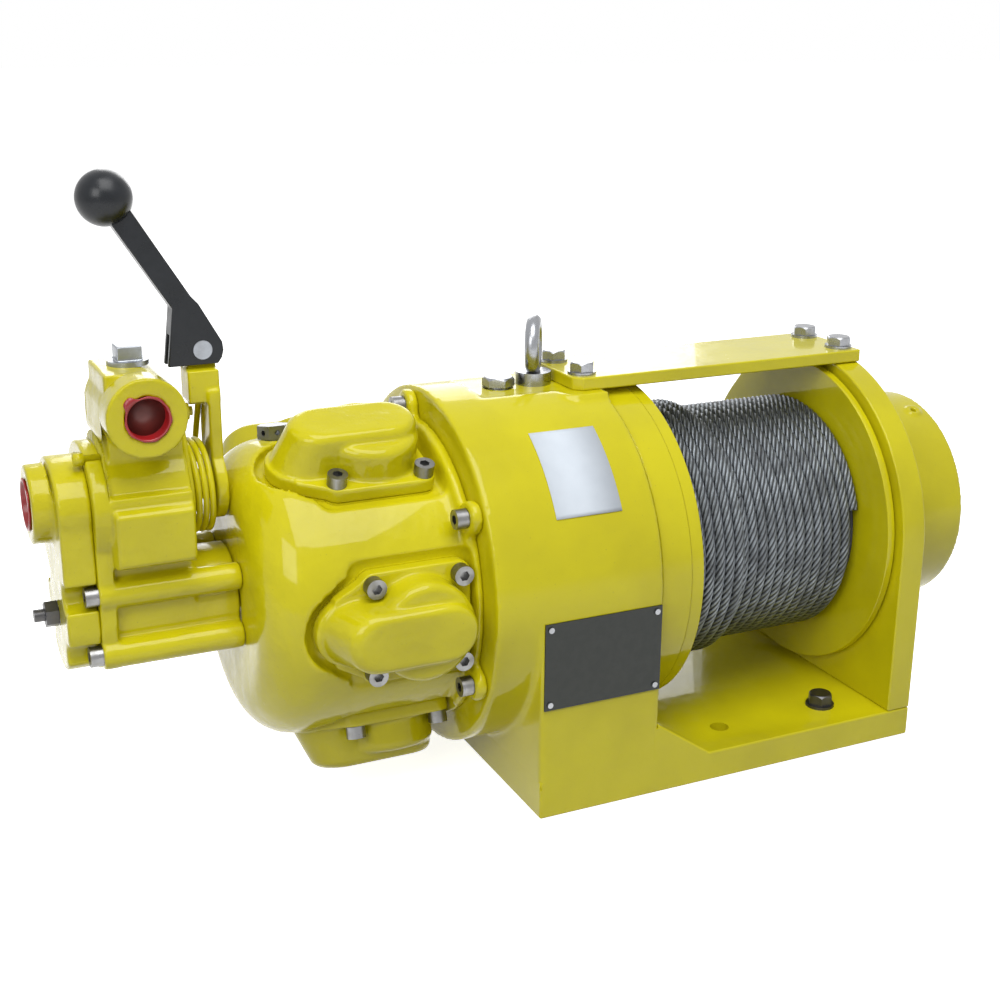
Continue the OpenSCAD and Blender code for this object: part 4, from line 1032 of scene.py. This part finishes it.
@dataclass
class ThrottleValve:
    """Valve body, end cover, caps, spindle and return spring."""

    voxel: float = 1.3 * MM
    spindle_z: float = 224 * MM
    front_port: Point = (-389.3 * MM, -56 * MM, 285.0 * MM)
    front_port_radius: float = 13.4 * MM
    left_port: Point = (-456 * MM, 0.0, 224 * MM)
    left_port_radius: float = 15.8 * MM
    cap_wall: float = 1.1
    cap_tab: float = 3.6
    band_screw_drop: float = 9 * MM
    spring_x: float = -344.15 * MM
    spring_radius: float = 29 * MM
    spring_wire: float = 4.0 * MM
    spring_pitch: float = 4.3 * MM
    spring_leg: Pair = (5.2 * MM, 55 * MM)
    spring_turns: int = 4
    step_x: Pair = (-444.0, -423.5)
    step_share: float = 0.74
    band_end: float = -412.5
    band_share: float = 0.78
    flat_rise: float = 6.0
    flat_x: Pair = (-413.0, -361.0)
    flat_z: Pair = (187.0, 229.0)
    flat_front: float = 34.0
    boss: Point = (-388.0, 282.0, 28.0)
    boss_front: float = 30.0
    boss_move: Pair = (-1.4, 3.0)
    soft_x: float = 3.0
    soft: float = 6.0

    def shaped(self, mesh: Mesh) -> Mesh:
        """Presses a softened valve casting into the photo's outline; its sizes are in millimetres.

        Above the spindle the height is multiplied by a share over the band and by a
        smaller one over the step beyond it; the body's front gets a raised flat; and
        the front port's boss, all within its reach of its middle, moves in X and Z.
        The flat and the move fade in over the soft widths.

        Args:
            mesh: The casting, changed in place.

        Returns:
            The same mesh.
        """
        xyz = np.empty(len(mesh.vertices) * 3)
        mesh.vertices.foreach_get("co", xyz)
        x, y, z = xyz.reshape(-1, 3).T / MM
        spindle = self.spindle_z / MM
        over = z - spindle
        zones = [x < self.step_x[0], x < self.step_x[1], x < self.band_end]
        share = np.select(zones, [1.0, self.step_share, self.band_share], 1.0)
        z = np.where(over > 0, spindle + over * share, z)
        (x0, x1), (z0, z1) = self.flat_x, self.flat_z
        rise = self.ramp((z - z0) / self.soft) * self.ramp((z1 - z) / self.soft)
        rise = rise * self.ramp((-y - self.flat_front) / self.soft)
        y = y - self.flat_rise * rise * self.ramp((x - x0) / self.soft_x) * self.ramp((x1 - x) / self.soft_x)
        middle_x, middle_z, reach = self.boss
        near = np.hypot(x - middle_x, z - middle_z) < reach
        moved = self.ramp((-y - self.boss_front) / self.soft) * near
        x, z = x + self.boss_move[0] * moved, z + self.boss_move[1] * moved
        mesh.vertices.foreach_set("co", (np.stack([x, y, z], axis=1) * MM).ravel())
        mesh.update()
        return mesh

    @staticmethod
    def ramp(u: np.ndarray) -> np.ndarray:
        """A smooth step from 0 to 1 while u goes from 0 to 1."""
        u = np.clip(u, 0, 1)
        return u * u * (3 - 2 * u)

    def cup(self, name: str, port: Point, into: Point, side: Point, radius: float,
            tab: float) -> list[Object]:
        """A moulded protection cap: a thin cup in a port, with a ragged rim and a pull tab.

        The cup is its section carried round the port's axis. The rim's radius at
        angle a is the port's plus 0.5 mm, plus two sines of a, plus the tab's length
        in a narrow bell at the tab's angle.

        Args:
            name: The cup's name.
            port: Middle of the port's mouth.
            into: Direction into the port.
            side: Direction of angle zero.
            radius: The port's radius.
            tab: The tab's angle in degrees.

        Returns:
            The cup and its floor, coloured a darker, browner red as painted shade.
        """
        a = np.linspace(0, 2 * np.pi, 96, endpoint=False)
        off = (a - math.radians(tab) + np.pi) % (2 * np.pi) - np.pi
        ragged = 0.25 * np.sin(5 * a + 1.0) + 0.18 * np.sin(11 * a)
        r = radius / MM
        rim = r + 0.5 + ragged + self.cap_tab * np.exp(-(off / 0.27) ** 4)
        inner, outer = r - self.cap_wall, r - 0.1
        depths = [11.0, -0.3, -1.2, -1.2, -0.2, 0.2, 12.0]
        wall = (depths, [inner, inner, inner + 0.5, rim, rim, outer, outer])
        floor = ([9.0, 10.2], [r - 0.4, r - 0.4])
        parts = []
        # The cap's floor takes the darker red: painted shade inside the cup.
        for label, rows, finish in (("", wall, Palette.RED), ("_floor", floor, Palette.SHADED_RED)):
            mesh = grid_mesh(name + label, self.placed(rows, a, port, into, side))
            parts.append(new_piece(name + label, mesh, finish))
        return parts

    @staticmethod
    def placed(rows: tuple[list, list], a: np.ndarray, port: Point, into: Point,
               side: Point) -> np.ndarray:
        """Carries rows of depth and radius, in millimetres, round a port's axis.

        Args:
            rows: The rows' depths, and their radii, each one number or one an angle.
            a: The angles.
            port: Middle of the port's mouth.
            into: Direction into the port.
            side: Direction of angle zero.

        Returns:
            Points of shape rows, angles, 3, in metres.
        """
        axis, first = np.array(into, float), np.array(side, float)
        around = np.cos(a)[:, None] * first + np.sin(a)[:, None] * np.cross(axis, first)
        depth = np.array(rows[0])[:, None, None]
        reach = np.stack([np.broadcast_to(r, a.shape) for r in rows[1]])[..., None]
        return np.array(port) + MM * (depth * axis + reach * around)

    def spring(self) -> Object:
        """The return spring in its rest form: a close coil with both ends led up beside the pin.

        The coil's point at angle a is (x - pitch a / turn, r sin a, z + r cos a); each
        end leaves along its tangent and runs straight to its leg's height.

        Returns:
            The piece.
        """
        leg_y, leg_up = self.spring_leg
        r = self.spring_radius
        start = math.atan2(leg_y, leg_up) + math.acos(r / math.hypot(leg_y, leg_up))
        a = np.linspace(start, 2 * np.pi * self.spring_turns - start, 500)
        x = self.spring_x - self.spring_pitch * (a - start) / (2 * np.pi)
        coil = np.stack([x, r * np.sin(a), self.spindle_z + r * np.cos(a)], 1)
        share = np.linspace(0, 1, 24, endpoint=False)[:, None]
        first = np.array([x[0], leg_y, self.spindle_z + leg_up])
        last = np.array([x[-1], -leg_y, self.spindle_z + leg_up])
        legs = first + share * (coil[0] - first), (last + share * (coil[-1] - last))[::-1]
        path = np.vstack([legs[0], coil, legs[1]])
        out = np.broadcast_to([1.0, 0.0, 0.0], path.shape)
        mesh = grid_mesh("return_spring", tube_points(path, out, self.spring_wire / 2, 14))
        return new_piece("return_spring.worked", mesh, Palette.CAST)

    def build(self) -> list[Object]:
        """Builds and dresses the valve's pieces.

        Returns:
            The pieces.
        """
        made = []
        for node in ("valve_body", "valve_cover"):
            mesh = self.shaped(cast_mesh(node, self.voxel, 5))
            made.append(stand_in(node, mesh, Palette.CAST))
        spindle = cast_mesh("throttle_spindle", 1.1 * MM, 3)
        made.append(stand_in("throttle_spindle", spindle, Palette.CAST, Body.THROTTLE))
        band_screw = merged_copy("band_screw", "band_screw_low")
        band_screw.transform(Matrix.Translation((0, 0, -self.band_screw_drop)))
        made.append(stand_in("band_screw", band_screw, Palette.CAST))
        made += dress({
            Palette.SCREW: ("valve_screws",),
            Palette.CAST: ("spring_pin",),
            Palette.DARK: ("adjusting_screw", "lock_nut"),
        })
        plug = machined_mesh("square_plug", 0.8 * MM)
        made.append(stand_in("square_plug", plug, Palette.STEEL))
        x, y = (1, 0, 0), (0, 1, 0)
        caps = self.cup("front_port_cap", self.front_port, y, x, self.front_port_radius, 225.0)
        caps += self.cup("left_port_cap", self.left_port, x, y, self.left_port_radius, 150.0)
        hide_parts("port_caps")
        spring = self.spring()
        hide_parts("return_spring")
        return made + caps + [spring]


@dataclass
class HandLever:
    """Black cam lever with a ball knob."""

    def build(self) -> list[Object]:
        """Builds and dresses the lever.

        Returns:
            The pieces.
        """
        blade = machined_mesh("hand_lever", 0.8 * MM, 3, 30.0)
        lever = stand_in("hand_lever", blade, Palette.BLACK, Body.LEVER)
        return [lever] + dress({Palette.STEEL: ("pivot_pin",)})


@dataclass
class PhotoCamera:
    """Camera solved from points measured on the photograph."""

    focal_px: float = 1491.41
    azimuth: float = -25.17
    elevation: float = 17.93
    roll: float = 0.39
    shift_right: float = 54.31 * MM
    shift_up: float = 44.70 * MM
    distance: float = 1051.12 * MM
    image: float = 1000.0
    sensor: float = 36.0

    def build(self) -> Object:
        """Places the camera.

        The view direction comes from the azimuth and elevation, the aim is the
        housing's end on the axis moved right and up, and the roll turns the picture.

        Returns:
            The camera.
        """
        a, e, r = np.radians([self.azimuth, self.elevation, self.roll])
        back = np.array([np.sin(a) * np.cos(e), -np.cos(a) * np.cos(e), np.sin(e)])
        right = np.array([np.cos(a), np.sin(a), 0])
        up = np.cross(back, right)
        aim = np.array([X_HOUSE, 0, AXIS_H]) + right * self.shift_right + up * self.shift_up
        place = aim + back * self.distance
        side = np.cos(r) * right + np.sin(r) * up
        top = -np.sin(r) * right + np.cos(r) * up
        turn = Matrix(np.stack([side, top, back], axis=1).tolist()).to_4x4()
        data = bpy.data.cameras.new("photo_camera")
        data.sensor_width = self.sensor
        data.lens = self.sensor * self.focal_px / self.image
        data.clip_start, data.clip_end = 0.02, 100.0
        camera = linked("photo_camera", data)
        camera.matrix_world = Matrix.Translation(place.tolist()) @ turn
        bpy.context.scene.camera = camera
        return camera


@dataclass(frozen=True)
class Lamp:
    """A square soft lamp: where it stands, where it points, its side and its power in watts."""

    name: str
    place: Point
    aim: Point
    size: float
    power: float

    def build(self) -> None:
        """Places the lamp, turned to its aim."""
        data = bpy.data.lights.new(self.name, "AREA")
        data.shape = "SQUARE"
        data.size = self.size
        data.energy = self.power
        lamp = linked(self.name, data)
        back = np.array(self.place) - np.array(self.aim)
        back /= np.linalg.norm(back)
        right = np.cross([0.0, 0.0, 1.0], back)
        right /= np.linalg.norm(right)
        turn = Matrix(np.stack([right, np.cross(back, right), back], axis=1).tolist()).to_4x4()
        lamp.matrix_world = Matrix.Translation(self.place) @ turn


@dataclass
class Studio:
    """Plain white floor and room with soft lamps."""

    room_light: float = 0.20
    floor_glow: float = 0.84
    floor_size: float = 30.0
    floor_drop: float = 0.3 * MM
    lamps: tuple[Lamp, ...] = (
        Lamp("key_lamp", (-1.6, -1.3, 1.25), (-0.1, 0, 0.15), 1.0, 14.0),
        Lamp("top_lamp", (-0.2, -0.75, 1.8), (-0.1, 0, 0.15), 1.3, 25.0),
        Lamp("back_lamp", (0.7, 2.4, 1.3), (-0.1, 0, 0.2), 1.6, 22.0),
    )

    def room(self) -> None:
        """Sets a world that lights softly and looks white to the camera and in reflections."""
        world = bpy.data.worlds.new("studio_room")
        world.use_nodes = True
        tree = world.node_tree
        tree.nodes.clear()
        kinds = ("OutputWorld", "Background", "LightPath", "Math", "Math", "MapRange")
        out, sky, path, seen, also, level = [tree.nodes.new("ShaderNode" + kind) for kind in kinds]
        seen.operation = also.operation = "MAXIMUM"
        level.inputs["To Min"].default_value = self.room_light
        level.inputs["To Max"].default_value = 1.0
        sky.inputs["Color"].default_value = (1, 1, 1, 1)
        for source, target in (
            (path.outputs["Is Camera Ray"], seen.inputs[0]),
            (path.outputs["Is Glossy Ray"], seen.inputs[1]),
            (seen.outputs[0], also.inputs[0]),
            (path.outputs["Is Transmission Ray"], also.inputs[1]),
            (also.outputs[0], level.inputs["Value"]),
            (level.outputs[0], sky.inputs["Strength"]),
            (sky.outputs[0], out.inputs["Surface"]),
        ):
            tree.links.new(source, target)
        bpy.context.scene.world = world

    def floor(self) -> Object:
        """The floor: white to the camera and in reflections, darker as a source of bounced light.

        Returns:
            The floor.
        """
        half = self.floor_size / 2
        around = ((-half, -half), (half, -half), (half, half), (-half, half))
        corners = [(x, y, -self.floor_drop) for x, y in around]
        mesh = bpy.data.meshes.new("floor")
        mesh.from_pydata(corners, [], [(0, 1, 2, 3)])
        s = NodeSheet("pale_floor")
        path = s.add("LightPath", {})
        seen = s.sum("MAXIMUM", path.outputs["Is Camera Ray"], path.outputs["Is Glossy Ray"])
        tone = s.span(s.noise(s.place(), 1.2, 2.0), 0.3, 0.7, 0.0, 1.0)
        white = s.blend(tone, (0.97, 0.97, 0.97), (1.0, 1.0, 1.0))
        colour = s.blend(seen, (0.42, 0.42, 0.42), white)
        also = s.sum("MAXIMUM", seen, path.outputs["Is Transmission Ray"])
        s.set(Base_Color=colour, Roughness=0.9, Specular_IOR_Level=0.0, Emission_Color=(1, 1, 1, 1),
              Emission_Strength=s.sum("MULTIPLY", also, self.floor_glow))
        mesh.materials.append(s.material)
        floor = linked("floor", mesh)
        return floor

    def build(self) -> None:
        """Builds the room, the floor and the lamps."""
        self.room()
        self.floor()
        for lamp in self.lamps:
            lamp.build()


def main() -> None:
    """Builds the winch, piece by piece, and the studio round it."""
    logging.basicConfig(level=logging.INFO, format="%(name)s %(message)s")
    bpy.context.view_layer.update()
    PhotoCamera().build()
    for part in (FrameAssembly(), Drum(), GearTrain(), AirMotor(), ThrottleValve(), HandLever()):
        for piece in part.build():
            LOG.info("%s: %s, %d faces", type(part).__name__, piece.name, len(piece.data.polygons))
    Studio().build()
    bpy.context.scene.view_settings.view_transform = "Standard"


if __name__ == "__main__":
    main()
